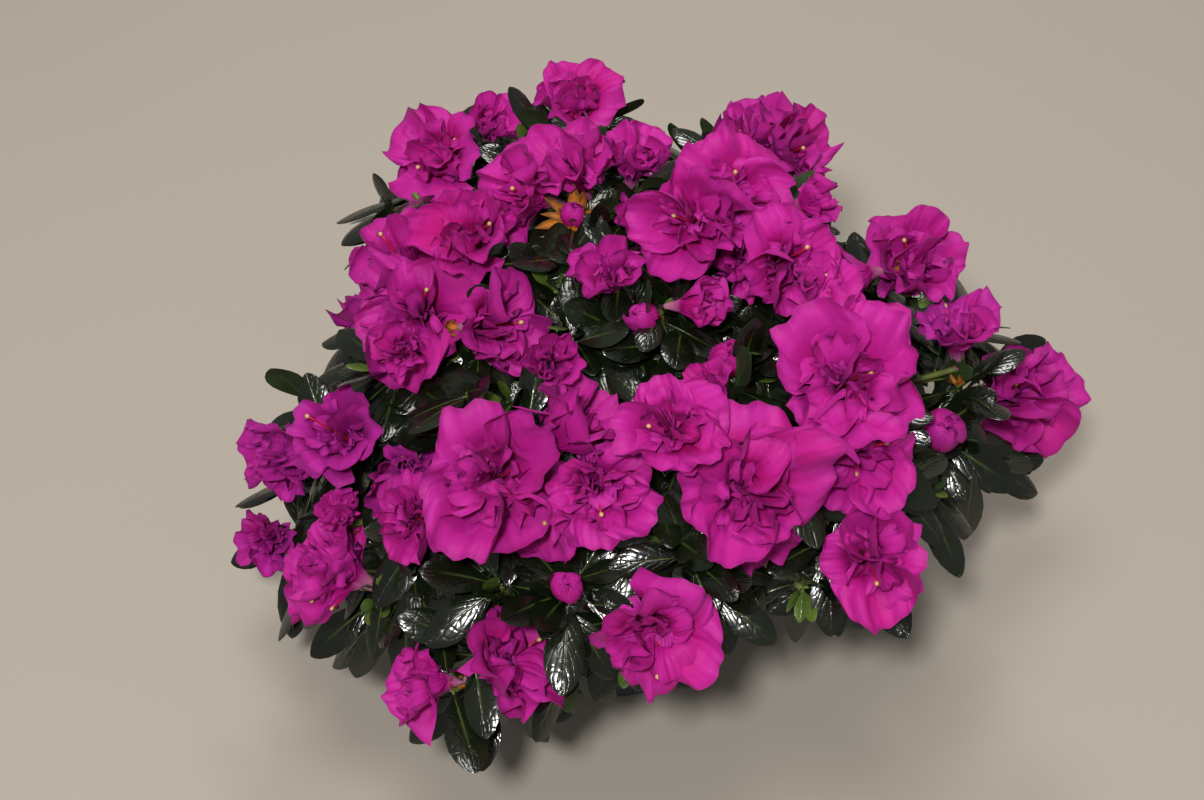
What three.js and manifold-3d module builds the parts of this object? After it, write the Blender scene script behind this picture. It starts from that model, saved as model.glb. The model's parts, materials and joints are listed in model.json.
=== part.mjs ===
// A double-flowered azalea shrub in its pot: one short trunk, boughs that spread from it, and a dome
// of flowering sprays. Millimetres, +Z up, origin at the centre of the pot's flat underside.
import * as THREE from "three";
import { mergeVertices } from "three/addons/utils/BufferGeometryUtils.js";
import Module from "manifold-3d";

const wasm = await Module();
wasm.setup();

// Pot and soil
const POT_HEIGHT = 118;
const POT_FOOT_RADIUS = 59;
const POT_RIM_RADIUS = 70;
const POT_WALL = 3;
const POT_FLOOR = 4;
const POT_EDGE = 1.5;
const POT_SIDES = 36;
const SOIL_HEIGHT = 108;
const SOIL_DOME = 3;
const SOIL_CROWN_SHARE = 0.6;
const SOIL_SIDES = 24;
const CLEAR = 0.3;

// Trunk
const TRUNK_LENGTH = 32;
const TRUNK_LEAN = [4, -3];
const TRUNK_RADIUS = 7.5;
const TRUNK_TIP_RADIUS = 4.5;
const ROOT_FLARE = 4;
const FLARE_LENGTH = 0.12;
const TRUNK_SIDES = 10;
const TRUNK_STEPS = 7;

// Boughs, from the trunk or from another bough to the mass that each carries
const MAIN_BOUGH_RADIUS = 3;
const SIDE_BOUGH_RADIUS = 2.3;
const BOUGH_TIP_RADIUS = 1.7;
const BOUGH_SIDES = 5;
const BOUGH_STEPS = 4;
const LEAVE_SHARE = 0.3;
const ARRIVE_SHARE = 0.35;
const LOWEST_ENTRY = POT_HEIGHT + 9;
const FLAT_SHARE = 0.94; // how far a faceted limb's flats lie from its axis, as a share of its radius

// Sprays: all directions are taken from the heart of the plant
const HEART = new THREE.Vector3(0, 0, 118);
const ENTRY_SHARE = 0.5;
const STEM_SIDES = 4;
const STEM_STEPS = 4;
const STEM_TIP_RADIUS = 1.5;
const FIRST_FORK = 0.2;
const FORK_STEP = 0.11;
const TWIG_RADIUS = 1.05;
const TWIG_TIP_RADIUS = 1.5;
const TWIG_SIDES = 3;
const TWIG_STEPS = 3;
const TWIG_SPREAD = 0.8;
const LEAF_SHOOT_SET_BACK = 20;
const PEDICEL = 9;
const LEAF_STEP = 0.8;
const LIFT = 0.35;
const TILT = 0.2;
const MASS_GAP = 0.2; // masses keep at least this far from each other and from the wood
const WELD = 0.01;

// Leaves
const LEAF_LENGTH = [36, 46];
const LEAF_WIDTH_SHARE = 0.48;
const LEAF_THICKNESS = 1;
const LEAF_WIDEST = 0.6;
const LEAF_SUNK = 0.4;
const LEAF_STRAY = 14;
const LEAF_OPENING = [60, 92];
const LEAF_DROOP = 0.12;
const LEAF_SIZES = [1, 0.8];
const LEAF_CLOSINGS = [1, 0.85, 0.7, 0.55, 0.4];

// Blossom, one row for each kind: W wide, O open, C half open, B bud. L is a leafy shoot. Open is how far
// a bloom has opened.
const BLOOMS = {
  W: { radius: 36, tube: 28, lobes: 5, leaves: 5, open: [1, 1] },
  O: { radius: 28, tube: 24, lobes: 5, leaves: 4, open: [0.75, 1] },
  C: { radius: 21, tube: 20, lobes: 4, leaves: 4, open: [0.3, 0.75] },
  B: { radius: 8, tube: 16, lobes: 3, leaves: 5, open: [0, 0] },
  L: { radius: 0, tube: 0, lobes: 0, leaves: 7, open: [1, 1] },
};
const TUBE_RADIUS = 5;
const TUBE_SHARE = 0.45;
const SUNK = 2;
const INNER_SHARE = 0.58;
const INNER_DROP = 0.1;
const THROAT_SHARE = 0.25;
const NOTCH = 0.84;
const RUFFLE = 0.12;
const RIM_SIZES = [0.3, 0.44, 0.58, 0.72, 0.86, 1];
const RIM_SPAN = [0.62, 1.02]; // share of the radius that the rim reaches when shut and when open
const RIM_RISE = [0.7, 0.18]; // how far the rim stands above the face when shut and when open

// name, bearing and rise of its axis in degrees, reach, turn of its ring of shoots, their spread,
// shoots, what its bough grows from, and how far along
const SPRAYS = [
  ["top_centre", -92, 83, 156, 295, 28, "CBLL", "trunk", 1],
  ["front_left", -118, 44, 154, 212, 38, "WCL", "trunk", 0.62],
  ["front_mid", -93, 46, 160, 205, 34, "OOLL", "trunk", 0.38],
  ["front_right", -63, 44, 168, 146, 38, "WOLL", "trunk", 0.62],
  ["right_big", -30, 48, 170, 274, 32, "WOL", "trunk", 0.38],
  ["right_shoulder", 8, 41, 176, 197, 26, "OCL", "trunk", 0.62],
  ["back_right", 60, 39, 172, 322, 28, "OOL", "trunk", 0.38],
  ["back_peak", 98, 43, 182, 190, 26, "OL", "trunk", 0.62],
  ["back_left", 127, 37, 176, 28, 27, "OCL", "trunk", 0.36],
  ["left_shoulder", 164, 48, 150, 270, 30, "OOL", "trunk", 0.62],
  ["left_low", -157, 30, 158, 190, 40, "OCLL", "trunk", 0.38],
  ["front", -83, 24, 168, 147, 36, "OBLL", "front_mid", 0.4],
  ["front_corner", -107, 14, 164, 194, 36, "OCLLL", "front_left", 0.3],
  ["centre_low", -112, 64, 154, -39, 28, "COLL", "front_mid", 0.62],
  ["right_low", -46, 26, 176, 262, 46, "OLLL", "front_right", 0.35],
  ["centre_right", -50, 62, 156, 240, 26, "BCLL", "front_right", 0.55],
  ["right_front", -21, 30, 176, 80, 38, "BOLL", "right_big", 0.35],
  ["right_upper", -12, 62, 166, 67, 36, "OCL", "right_big", 0.55],
  ["right_edge", 3, 10, 202, -40, 40, "OLL", "right_shoulder", 0.35],
  ["upper_right", 26, 69, 163, 240, 36, "WOCLL", "right_shoulder", 0.55],
  ["back_low_right", 38, 4, 168, 90, 32, "OCLL", "back_right", 0.35],
  ["back_low", 92, 2, 162, 30, 32, "OCLL", "back_peak", 0.3],
  ["upper_mid", 90, 70, 158, 225, 28, "OBCCL", "back_peak", 0.55],
  ["back_low_left", 142, 1, 144, 30, 32, "OCLL", "back_left", 0.4],
  ["upper_left", 134, 70, 154, 219, 32, "OOLL", "left_shoulder", 0.45],
  ["left_mid", -159, 50, 150, 18, 38, "COLL", "left_low", 0.5],
  ["left_edge", -166, 1, 166, 90, 30, "CLL", "left_low", 0.3],
  ["left_front", -142, 10, 158, 110, 32, "OCLLL", "left_low", 0.7],
];

// Shoots that are set by hand. Each row has the numbers of the spray and the shoot, then its facing in the
// front view (right, up, forwards), how far it has opened, its size, and its step off the rule's place in
// that view (right, up)
const POSED = [
  [7, 0, 0, 0.5, 0.85, 0.75, 0.79, 3, -12],
  [8, 0, -0.5, 0.3, 0.8, 0.9, 0.95, 4, -11],
  [8, 1, 0.3, 0.5, 0.75, 0.3, 0.83, 7, -5],
  [24, 0, -0.75, 0.1, 0.55, 0.4, 0.9, -2, -5],
  [24, 1, -0.2, 0.3, 0.9, 0.6, 0.94, -3, -4],
  [22, 0, -0.3, 0.6, 0.6, 0.7, 0.97, -17, -8],
  [22, 1, 0, 0.5, 0.8, 0, 0.7, 3, -14],
  [22, 2, 0, 0.1, 1, 0.12, 0.79, -6, -19],
  [22, 3, 0.1, 0.7, 0.6, 0.6, 0.94, -9, -9],
  [0, 0, -0.15, 0.5, 0.8, 0.4, 0.94, 0, -4],
  [0, 1, -0.5, 0.1, 0.8, 0, 0.8, 0, 0],
  [9, 0, -0.3, 0.5, 0.8, 0.75, 0.94, 2, -2],
  [9, 1, -0.2, 0, 1, 1, 1.12, 8, -9],
  [25, 0, -0.1, 0.1, 1, 0.12, 0.73, 0, 0],
  [25, 1, 0.6, 0, 0.7, 0.8, 0.94, 8, -6],
  [6, 0, -0.05, 0.75, 0.55, 0.5, 0.85, 1, -5],
  [6, 1, 0.7, 0.4, 0.5, 0.7, 0.85, -3, -3],
  [17, 0, 0.2, -0.2, 0.95, 0.9, 0.88, -1, 4],
  [17, 1, 0.8, 0.35, 0.4, 0.25, 0.75, 2, 12],
  [19, 0, 0, 0.3, 0.95, 0.9, 0.73, 0, 0],
  [19, 1, -0.2, 0, 1, 0.8, 0.94, 0, 4],
  [19, 2, 0, -0.3, 0.95, 0.5, 0.99, -21, -7],
  [5, 0, 0.25, 0.45, 0.8, 0.9, 0.95, 1, 0],
  [5, 1, -0.85, -0.2, 0.4, 0.25, 0.83, -7, -15],
  [4, 0, 0.05, 0.15, 1, 1, 0.99, 0, -3],
  [4, 1, 0.05, -0.3, 0.95, 1, 0.95, 4, -3],
  [16, 0, 0.1, 0.1, 1, 0, 1.25, 4, 0],
  [16, 1, -0.1, 0.75, 0.5, 0.6, 0.79, 9, 7],
  [18, 0, 0.35, -0.1, 0.85, 0.9, 1.01, -8, -2],
  [14, 0, 0.1, 0, 1, 0.9, 0.94, 0, -2],
  [3, 0, 0.1, -0.1, 1, 1, 0.94, 0, -2],
  [3, 1, -0.2, 0.3, 0.95, 0.8, 0.88, 0, 2],
  [15, 0, 0.1, 0.2, 1, 0, 1, 2, 1],
  [15, 1, -0.3, 0.5, 0.5, 0.35, 0.66, 7, 8],
  [13, 0, 0.15, 0.1, 1, 0.15, 0.83, 0, 2],
  [13, 1, 0.5, 0.75, 0.35, 0.45, 0.94, -14, -8],
  [2, 0, 0.1, -0.1, 1, 0.85, 0.97, 0, 0],
  [2, 1, -0.25, -0.7, 0.55, 0.8, 0.94, 5, 8],
  [1, 0, -0.1, 0.1, 1, 0.9, 0.89, 2, 0],
  [1, 1, -0.2, 0, 0.95, 0.75, 0.99, -4, 2],
  [10, 0, -0.2, 0.2, 0.95, 0.5, 0.9, 8, 2],
  [10, 1, -0.8, 0.1, 0.5, 0.25, 0.94, -7, 3],
  [26, 0, -0.3, 0, 0.9, 0.3, 0.94, 3, -9],
  [27, 0, -0.7, 0.55, 0.35, 0.4, 0.88, 3, 10],
  [27, 1, -0.2, 0.4, 0.8, 0.3, 0.68, 8, 3],
  [12, 0, 0.6, 0.35, 0.55, 0.75, 0.99, 0, 7],
  [12, 1, -0.8, 0, 0.45, 0.3, 0.99, -2, -5],
  [11, 0, 0, -0.45, 0.9, 0.95, 1.02, 0, 3],
  [27, 3, -0.2, -0.3, 0.9, 1, 0.95, -6, 9],
  [12, 2, -0.1, -0.7, 0.6, 1, 0.9, -24, 4],
  [12, 3, 0.3, -0.5, 0.7, 1, 0.75, -12, -3],
  [11, 2, -0.3, -0.6, 0.6, 1, 0.7, -5, 10],
  [11, 3, 0.2, -0.3, 0.9, 1, 0.85, 0, 4],
  [14, 1, 0, -0.7, 0.6, 1, 0.75, -7, 16],
  [14, 2, 0.4, -0.3, 0.8, 1, 0.85, 0, 0],
  [18, 1, 0.4, -0.4, 0.7, 1, 0.85, -10, 3],
  [11, 1, 0, 0.2, 1, 0.1, 0.85, -7, 6],
  [6, 2, 0.2, 0.7, 0.6, 1, 0.75, 0, -14],
  [7, 1, -0.3, 0.7, 0.55, 1, 0.75, 0, -12],
];

// Second blooms, each on the twig of a shoot, set in the same way
const TWINS = [
  [27, 0, -0.95, 0, 0.35, 0.35, 0.88, -5, -8],
  [10, 1, -0.4, -0.2, 0.85, 0.2, 0.75, 8, -3],
  [3, 2, 0.2, -0.75, 0.45, 0.8, 0.83, 14, 14],
  [24, 3, -0.3, 0.5, 0.8, 0.6, 0.83, 4, 12],
  [0, 1, 0.85, 0, 0.45, 0.1, 0.6, 24, 4],
  [10, 2, 0.1, -0.2, 1, 0.6, 0.83, 4, 10],
  [17, 2, 0.2, 0.5, 0.8, 0.5, 0.72, 34, 22],
];
const TWIN_FORK = 0.8; // where a second bloom's twig leaves the one that it shares
const WAY_SHARE = 0.5; // how far down the tube the middle of a bloom's space lies
const VIEW_PITCH = 50; // the front view looks down this much

const X = new THREE.Vector3(1, 0, 0);
const Z = new THREE.Vector3(0, 0, 1);
const { degToRad: radians, lerp, clamp } = THREE.MathUtils;
const [LEVEL, STEEP] = [Math.cos(radians(VIEW_PITCH)), Math.sin(radians(VIEW_PITCH))];
const UP = new THREE.Vector3(0, STEEP, LEVEL);
const FORWARDS = new THREE.Vector3(0, -LEVEL, STEEP);

// A number from 0 to 1 that depends only on the whole numbers given, so that growth always repeats.
function chance(...keys) {
  let mixed = 2654435769;
  for (const key of keys) {
    mixed = Math.imul(mixed ^ key, 2246822507);
    mixed ^= mixed >>> 13;
    mixed = Math.imul(mixed, 3266489909);
    mixed ^= mixed >>> 16;
  }
  return (mixed >>> 0) / 4294967296;
}

const between = (low, high, ...keys) => low + (high - low) * chance(...keys);

const moved = (from, ...steps) =>
  steps.reduce((at, [way, far]) => at.addScaledVector(way, far), from.clone());

function aim(bearing, rise) {
  const level = Math.cos(radians(rise));
  const [b, up] = [radians(bearing), Math.sin(radians(rise))];
  return new THREE.Vector3(level * Math.cos(b), level * Math.sin(b), up);
}

// Two directions square to an axis and to each other.
function squareTo(axis) {
  const first = moved(X, [axis, -axis.x]).normalize();
  return [first, axis.clone().cross(first)];
}

// A three.js geometry with only its places kept and its seam closed.
function bare(geometry) {
  geometry.deleteAttribute("normal");
  geometry.deleteAttribute("uv");
  return mergeVertices(geometry);
}

// Moves each vertex of a geometry to the place that the rule gives for it.
function shaped(geometry, rule) {
  const places = geometry.getAttribute("position");
  const vertex = new THREE.Vector3();
  for (let n = 0; n < places.count; n++) {
    const place = rule(vertex.fromBufferAttribute(places, n));
    places.setXYZ(n, place.x, place.y, place.z);
  }
  return geometry;
}

// A tapering limb: a cylinder's rings carried along a curve.
function limb(curve, radiusAt, sides, steps) {
  const { normals, binormals } = curve.computeFrenetFrames(steps, false);
  const geometry = shaped(bare(new THREE.CylinderGeometry(1, 1, 1, sides, steps)), ({ x, y, z }) => {
    const along = y + 0.5;
    const ring = Math.round(along * steps);
    const radius = radiusAt(along);
    return moved(curve.getPointAt(along), [binormals[ring], x * radius], [normals[ring], z * radius]);
  });
  return { geometry, curve, radiusAt };
}

// The radius of the pot's outer wall at a height.
const wallAt = (height) => POT_FOOT_RADIUS + ((POT_RIM_RADIUS - POT_FOOT_RADIUS) * height) / POT_HEIGHT;

// The pot, turned about its axis: flat foot, tapered wall, bevelled foot and rim.
function pot() {
  const shoulder = POT_HEIGHT - POT_EDGE;
  const outline = [
    [0, 0],
    [POT_FOOT_RADIUS - POT_EDGE, 0],
    [wallAt(POT_EDGE), POT_EDGE],
    [wallAt(shoulder), shoulder],
    [POT_RIM_RADIUS - POT_WALL / 2, POT_HEIGHT],
    [wallAt(shoulder) - POT_WALL, shoulder],
    [wallAt(POT_FLOOR) - POT_WALL, POT_FLOOR],
    [0, POT_FLOOR],
  ];
  return turned(outline, POT_SIDES);
}

// The soil, clear of the pot's wall and floor, a little higher in the middle.
function soil() {
  const facet = Math.cos(Math.PI / POT_SIDES);
  const radiusAt = (height) => (wallAt(height) - POT_WALL) * facet - CLEAR;
  const floor = POT_FLOOR + CLEAR;
  const edge = SOIL_HEIGHT - SOIL_DOME;
  const outline = [
    [0, floor],
    [radiusAt(floor), floor],
    [radiusAt(edge), edge],
    [radiusAt(edge) * SOIL_CROWN_SHARE, SOIL_HEIGHT],
    [0, SOIL_HEIGHT],
  ];
  return turned(outline, SOIL_SIDES);
}

// An outline of radius and height pairs, from axis to axis, turned about Z.
function turned(outline, sides) {
  const points = outline.map(([radius, height]) => new THREE.Vector2(radius, height));
  return bare(new THREE.LatheGeometry(points, sides)).rotateX(Math.PI / 2);
}

// The trunk leans a little and flares at its foot, which is cut flat at the soil.
function trunk() {
  const foot = new THREE.Vector3(0, 0, SOIL_HEIGHT + CLEAR);
  const [leanX, leanY] = TRUNK_LEAN;
  const tip = moved(foot, [new THREE.Vector3(leanX, leanY, TRUNK_LENGTH), 1]);
  const middle = moved(foot, [Z, TRUNK_LENGTH / 2]);
  const curve = new THREE.QuadraticBezierCurve3(foot, middle, tip);
  const flareAt = (along) => ROOT_FLARE * Math.exp(-along / FLARE_LENGTH);
  const radiusAt = (along) => lerp(TRUNK_RADIUS, TRUNK_TIP_RADIUS, along) + flareAt(along);
  return limb(curve, radiusAt, TRUNK_SIDES, TRUNK_STEPS);
}

// Where a shoot's calyx and node lie, from its face and its facing.
function seated(shoot) {
  const { kind, face, facing, tube } = shoot;
  const calyx = moved(face, [facing, -tube]);
  const node = kind === "L" ? face : moved(calyx, [facing, -PEDICEL]);
  return { ...shoot, calyx, node };
}

// A shoot that is turned, opened, sized and moved as its row says.
function posed(shoot, [right, up, forwards, open, size, aside, rise]) {
  const facing = moved(new THREE.Vector3(), [X, right], [UP, up], [FORWARDS, forwards]).normalize();
  const face = moved(shoot.face, [X, aside], [UP, rise]);
  const [radius, tube] = [shoot.radius * size, shoot.tube * size];
  const way = moved(face, [facing, -WAY_SHARE * tube], [HEART, -1]).normalize();
  return seated({ ...shoot, way, facing, face, open, size, radius, tube });
}

// Where a spray's stem begins and forks, and each of its shoots with its direction, facing and places.
function layOut([name, bearing, rise, reach, turn, spread, kinds, parent, at], index) {
  const axis = aim(bearing, rise);
  const [first, second] = squareTo(axis);
  const entry = moved(HEART, [axis, ENTRY_SHARE * reach]);
  entry.z = Math.max(entry.z, LOWEST_ENTRY);
  const arriving = moved(HEART, [axis, reach], [entry, -1]).normalize();
  const shoots = [...kinds].map((kind, k) => {
    const angle = radians(turn + (360 * (k - 1)) / (kinds.length - 1));
    const off = k === 0 ? 0 : spread / reach;
    const way = moved(axis, [first, off * Math.cos(angle)], [second, off * Math.sin(angle)]).normalize();
    const [aside, up] = squareTo(way);
    const tilt = [between(-TILT, TILT, index, k, 1), between(-TILT, TILT, index, k, 2)];
    const facing = moved(way, [Z, LIFT * (1 - way.z)], [aside, tilt[0]], [up, tilt[1]]).normalize();
    const face = moved(HEART, [way, reach - (kind === "L" ? LEAF_SHOOT_SET_BACK : 0)]);
    const open = between(...BLOOMS[kind].open, index, k, 21);
    const shoot = seated({ ...BLOOMS[kind], kind, key: [index, k], way, facing, face, open, size: 1 });
    const row = POSED.find(([n, m]) => n === index && m === k);
    return row ? posed(shoot, row.slice(2)) : shoot;
  });
  TWINS.forEach(([n, beside, ...row], number) => {
    if (n !== index) return;
    const bloom = { ...BLOOMS.O, kind: "O", leaves: 0, key: [index, beside, number], beside };
    shoots.push(posed({ ...shoots[beside], ...bloom }, row));
  });
  return { name, index, parent, at, entry, arriving, shoots };
}

// The way from one place to another, square to a limb's tangent.
function across(tangent, from, to) {
  const way = moved(to, [from, -1]);
  return way.addScaledVector(tangent, -way.dot(tangent)).normalize();
}

// A curve that leaves its start and arrives at its end in given directions.
function bend(start, leaving, end, arriving) {
  const span = start.distanceTo(end);
  const early = moved(start, [leaving, LEAVE_SHARE * span]);
  const late = moved(end, [arriving, -ARRIVE_SHARE * span]);
  return new THREE.CubicBezierCurve3(start, early, late, end);
}

// A bough leaves its parent squarely, clear of it, and bends to arrive along its spray's stem. One
// carries the trunk's tip on.
function bough(spray, limbs) {
  const parent = limbs.get(spray.parent);
  const isMain = spray.parent === "trunk";
  const radius = isMain ? MAIN_BOUGH_RADIUS : SIDE_BOUGH_RADIUS;
  const onParent = parent.curve.getPointAt(spray.at);
  const tangent = parent.curve.getTangentAt(spray.at);
  const isTip = spray.at === 1;
  const leaving = isTip ? tangent : across(tangent, onParent, spray.entry);
  const below = Math.max(0, spray.at - radius / parent.curve.getLength());
  const start = moved(onParent, [leaving, CLEAR + (isTip ? 0 : parent.radiusAt(below) * FLAT_SHARE)]);
  const curve = bend(start, leaving, spray.entry, spray.arriving);
  const radiusAt = (along) => lerp(radius, BOUGH_TIP_RADIUS, along);
  return limb(curve, radiusAt, BOUGH_SIDES, BOUGH_STEPS);
}

// A leaf: an octahedron drawn out to a thin blade, its root sunk in the twig and its tip drooping.
function leaf(node, along, face, length) {
  const root = moved(node, [along, -LEAF_SUNK]);
  const side = face.clone().cross(along).normalize();
  const normal = along.clone().cross(side);
  return shaped(bare(new THREE.OctahedronGeometry(1, 0)), ({ x, y, z }) => {
    const out = x < -0.5 ? 0 : x > 0.5 ? 1 : LEAF_WIDEST;
    return moved(
      root,
      [along, out * length],
      [side, (y * length * LEAF_WIDTH_SHARE) / 2],
      [normal, (z * LEAF_THICKNESS) / 2],
      [Z, -LEAF_DROOP * out * out * length],
    );
  });
}

// A ring of leaves round a shoot. A leaf that doesn't fit is closed up, then shortened, then skipped.
function whorl(shoot, fits) {
  const count = shoot.leaves;
  const share = shoot.kind === "L" ? shoot.size : 1;
  const [first, second] = squareTo(shoot.facing);
  const start = between(0, 360, ...shoot.key, 3);
  for (let n = 0; n < count; n++) {
    const turn = radians(start + (360 * n) / count + between(-LEAF_STRAY, LEAF_STRAY, ...shoot.key, n, 4));
    const opening = radians(between(...LEAF_OPENING, ...shoot.key, n, 5));
    const length = share * between(...LEAF_LENGTH, ...shoot.key, n, 6);
    const node = moved(shoot.node, [shoot.facing, -LEAF_STEP * (n + 1)]);
    const sideways = moved(first, [first, Math.cos(turn) - 1], [second, Math.sin(turn)]);
    const tries = LEAF_SIZES.flatMap((size) => LEAF_CLOSINGS.map((closing) => [size, opening * closing]));
    tries.some(([size, angle]) => {
      const along = moved(sideways, [sideways, Math.sin(angle) - 1], [shoot.facing, Math.cos(angle)]);
      return fits(leaf(node, along, shoot.facing, size * length));
    });
  }
}

// The places that shape a bloom: rays from its middle to its rim, each drawn in by a share of its own.
function bloomPlaces({ key, calyx, face, facing, radius, tube, lobes, open, size }) {
  const [first, second] = squareTo(facing);
  const rays = 2 * lobes;
  const start = between(0, 2 * Math.PI, ...key, 7);
  const placeAt = (ray, out, height) => {
    const angle = start + (2 * Math.PI * ray) / rays;
    return moved(face, [first, out * Math.cos(angle)], [second, out * Math.sin(angle)], [facing, height]);
  };
  const span = radius * lerp(...RIM_SPAN, open);
  const rise = radius * lerp(...RIM_RISE, open);
  const ruffle = (ray) => RUFFLE * radius * (ray % 2 ? -1 : 1) * between(0.4, 1, ...key, ray, 8);
  const dip = (ray) => rise - ruffle(ray) - INNER_DROP * radius;
  return {
    rays,
    foot: moved(calyx, [facing, -SUNK]),
    throat: moved(face, [facing, rise - THROAT_SHARE * radius]),
    tubeAt: (ray) => placeAt(ray, TUBE_RADIUS * size, -TUBE_SHARE * tube),
    innerAt: (ray, share) => placeAt(ray, INNER_SHARE * span * share, dip(ray)),
    rimAt: (ray, share) => placeAt(ray, span * share * (ray % 2 ? NOTCH : 1), rise + ruffle(ray)),
  };
}

// A bloom's shape: a sphere's rings drawn out from the foot to a narrow tube, a ruffled rim and a sunk
// throat.
function bloomShape({ rays, foot, throat, tubeAt, innerAt, rimAt }, shares) {
  return shaped(bare(new THREE.SphereGeometry(1, rays, 4)), ({ x, y, z }) => {
    const ray = (Math.round((Math.atan2(z, -x) / (2 * Math.PI)) * rays) + rays) % rays;
    const ring = Math.round((4 * Math.acos(clamp(y, -1, 1))) / Math.PI);
    return [throat, innerAt(ray, shares[ray]), rimAt(ray, shares[ray]), tubeAt(ray), foot][ring];
  });
}

// The part of a bloom between two neighbouring rays.
function sector({ throat, tubeAt, innerAt, rimAt }, pair, shares) {
  const sides = pair.flatMap((ray) => [tubeAt(ray), innerAt(ray, shares[ray]), rimAt(ray, shares[ray])]);
  return wasm.Manifold.hull([throat, ...sides].map((corner) => corner.toArray()));
}

// A bud on the shoot's tip.
function bud({ calyx, facing, radius, tube, lobes }) {
  const [first, second] = squareTo(facing);
  const heightAt = (y) => (0.5 + 0.5 * y) * (tube + SUNK) - SUNK;
  return shaped(bare(new THREE.SphereGeometry(1, 2 * lobes, 3)), ({ x, y, z }) =>
    moved(calyx, [first, -x * radius], [second, z * radius], [facing, heightAt(y)]),
  );
}

const solidOf = (geometry) =>
  new wasm.Manifold(
    new wasm.Mesh({
      numProp: 3,
      vertProperties: new Float32Array(geometry.getAttribute("position").array),
      triVerts: new Uint32Array(geometry.index.array),
    }),
  );

// One body from many: joined, with sealed hollows filled and loose scraps dropped.
function fused(solids) {
  const bodies = solids.reduce((sum, next) => sum.add(next)).simplify(WELD).decompose();
  const body = bodies.reduce((most, next) => (next.volume() > most.volume() ? next : most));
  const { vertProperties, triVerts } = body.getMesh();
  const geometry = new THREE.BufferGeometry();
  geometry.setAttribute("position", new THREE.BufferAttribute(vertProperties, 3));
  geometry.setIndex(new THREE.BufferAttribute(triVerts, 1));
  return geometry;
}

// The stem of a mass runs on from its bough, clear of it, and bends to its first shoot.
function stemOf({ entry, arriving, shoots: [{ calyx, way }] }) {
  const curve = bend(moved(entry, [arriving, CLEAR]), arriving, calyx, way);
  const radiusAt = (along) => lerp(BOUGH_TIP_RADIUS, STEM_TIP_RADIUS, along);
  return limb(curve, radiusAt, STEM_SIDES, STEM_STEPS);
}

// A side twig leaves the stem widely, each a step beyond the last, and bends to its shoot. The twig of a
// second bloom carries on from the twig that it shares.
function twigOf({ calyx, node, way, kind, beside }, order, twigs) {
  const isSecond = beside !== undefined;
  const from = twigs[isSecond ? beside : 0].curve;
  const at = isSecond ? TWIN_FORK : FIRST_FORK + FORK_STEP * order;
  const start = from.getPointAt(at);
  const tangent = from.getTangentAt(at);
  const end = kind === "L" ? node : calyx;
  const wide = moved(across(tangent, start, end), [tangent, TWIG_SPREAD]).normalize();
  const curve = bend(start, isSecond ? tangent : wide, end, way);
  const radiusAt = (along) => lerp(TWIG_RADIUS, TWIG_TIP_RADIUS, along);
  return limb(curve, radiusAt, TWIG_SIDES, TWIG_STEPS);
}

// A piece of a mass with the box round it.
const pieceOf = (solid, shoot) => ({ solid, shoot, box: solid.boundingBox() });

const isPast = (a, b, gap) => [0, 1, 2].some((n) => a.min[n] > b.max[n] + gap);
const areApart = (a, b, gap) => isPast(a, b, gap) || isPast(b, a, gap);

// Whether a solid keeps its distance from every mass but its own.
function isFree(own, masses, solid) {
  const box = solid.boundingBox();
  const isFar = (piece) =>
    areApart(piece.box, box, MASS_GAP) || piece.solid.minGap(solid, MASS_GAP) >= MASS_GAP;
  return masses.every((mass) => mass === own || mass.pieces.every(isFar));
}

// The stem of a spray, and a side twig for each further shoot.
function twigsOf(spray) {
  const twigs = [stemOf(spray)];
  spray.shoots.slice(1).forEach((shoot, order) => twigs.push(twigOf(shoot, order, twigs)));
  return twigs;
}

// Adds the twigs of a mass to its pieces, either those of its own blooms or else those of its leafy
// shoots and second blooms. A twig that isn't free is skipped, and so is one whose twig to grow from was.
function growTwigs({ own, masses, isLater }) {
  const { shoots } = own.spray;
  shoots.forEach((shoot, k) => {
    const isSecond = shoot.beside !== undefined;
    if ((shoot.kind === "L" || isSecond) !== isLater) return;
    const from = shoots[isSecond ? shoot.beside : 0];
    const isHeld = k === 0 || own.pieces.some((piece) => piece.shoot === from);
    const solid = solidOf(own.twigs[k].geometry);
    if (isHeld && isFree(own, masses, solid)) own.pieces.push(pieceOf(solid, shoot));
  });
}

// A bud, or a bloom at its smallest, on the tip of a shoot.
function growTip(mass, shoot, masses) {
  if (shoot.kind === "L") return [];
  const places = shoot.kind === "B" ? null : bloomPlaces(shoot);
  const shares = places ? Array.from({ length: places.rays }, () => RIM_SIZES[0]) : [];
  const piece = pieceOf(solidOf(places ? bloomShape(places, shares) : bud(shoot)));
  if (!isFree(mass, masses, piece.solid)) return [];
  mass.pieces.push(piece);
  return places ? [{ mass, piece, places, shares }] : [];
}

// Draws each ray of a bloom out to a share of the rim, where that brings it near nothing around it.
function openRays(bloom, share, around) {
  const { mass, piece, places } = bloom;
  const { rays } = places;
  for (let ray = 0; ray < rays; ray++) {
    const trial = bloom.shares.with(ray, share);
    const pairs = [[(ray + rays - 1) % rays, ray], [ray, (ray + 1) % rays]];
    const isOpen = pairs.every((pair) => isFree(mass, around, sector(places, pair, trial)));
    if (isOpen) bloom.shares = trial;
  }
  piece.solid = solidOf(bloomShape(places, bloom.shares));
  piece.box = piece.solid.boundingBox();
}

// All blooms open together, a step at a time, and keep apart from each other and from other masses.
function openBlooms(blooms, masses) {
  for (const share of RIM_SIZES.slice(1)) {
    for (const bloom of blooms) {
      const siblings = blooms.filter((other) => other !== bloom && other.mass === bloom.mass);
      openRays(bloom, share, [...masses, { pieces: siblings.map((other) => other.piece) }]);
    }
  }
}

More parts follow.
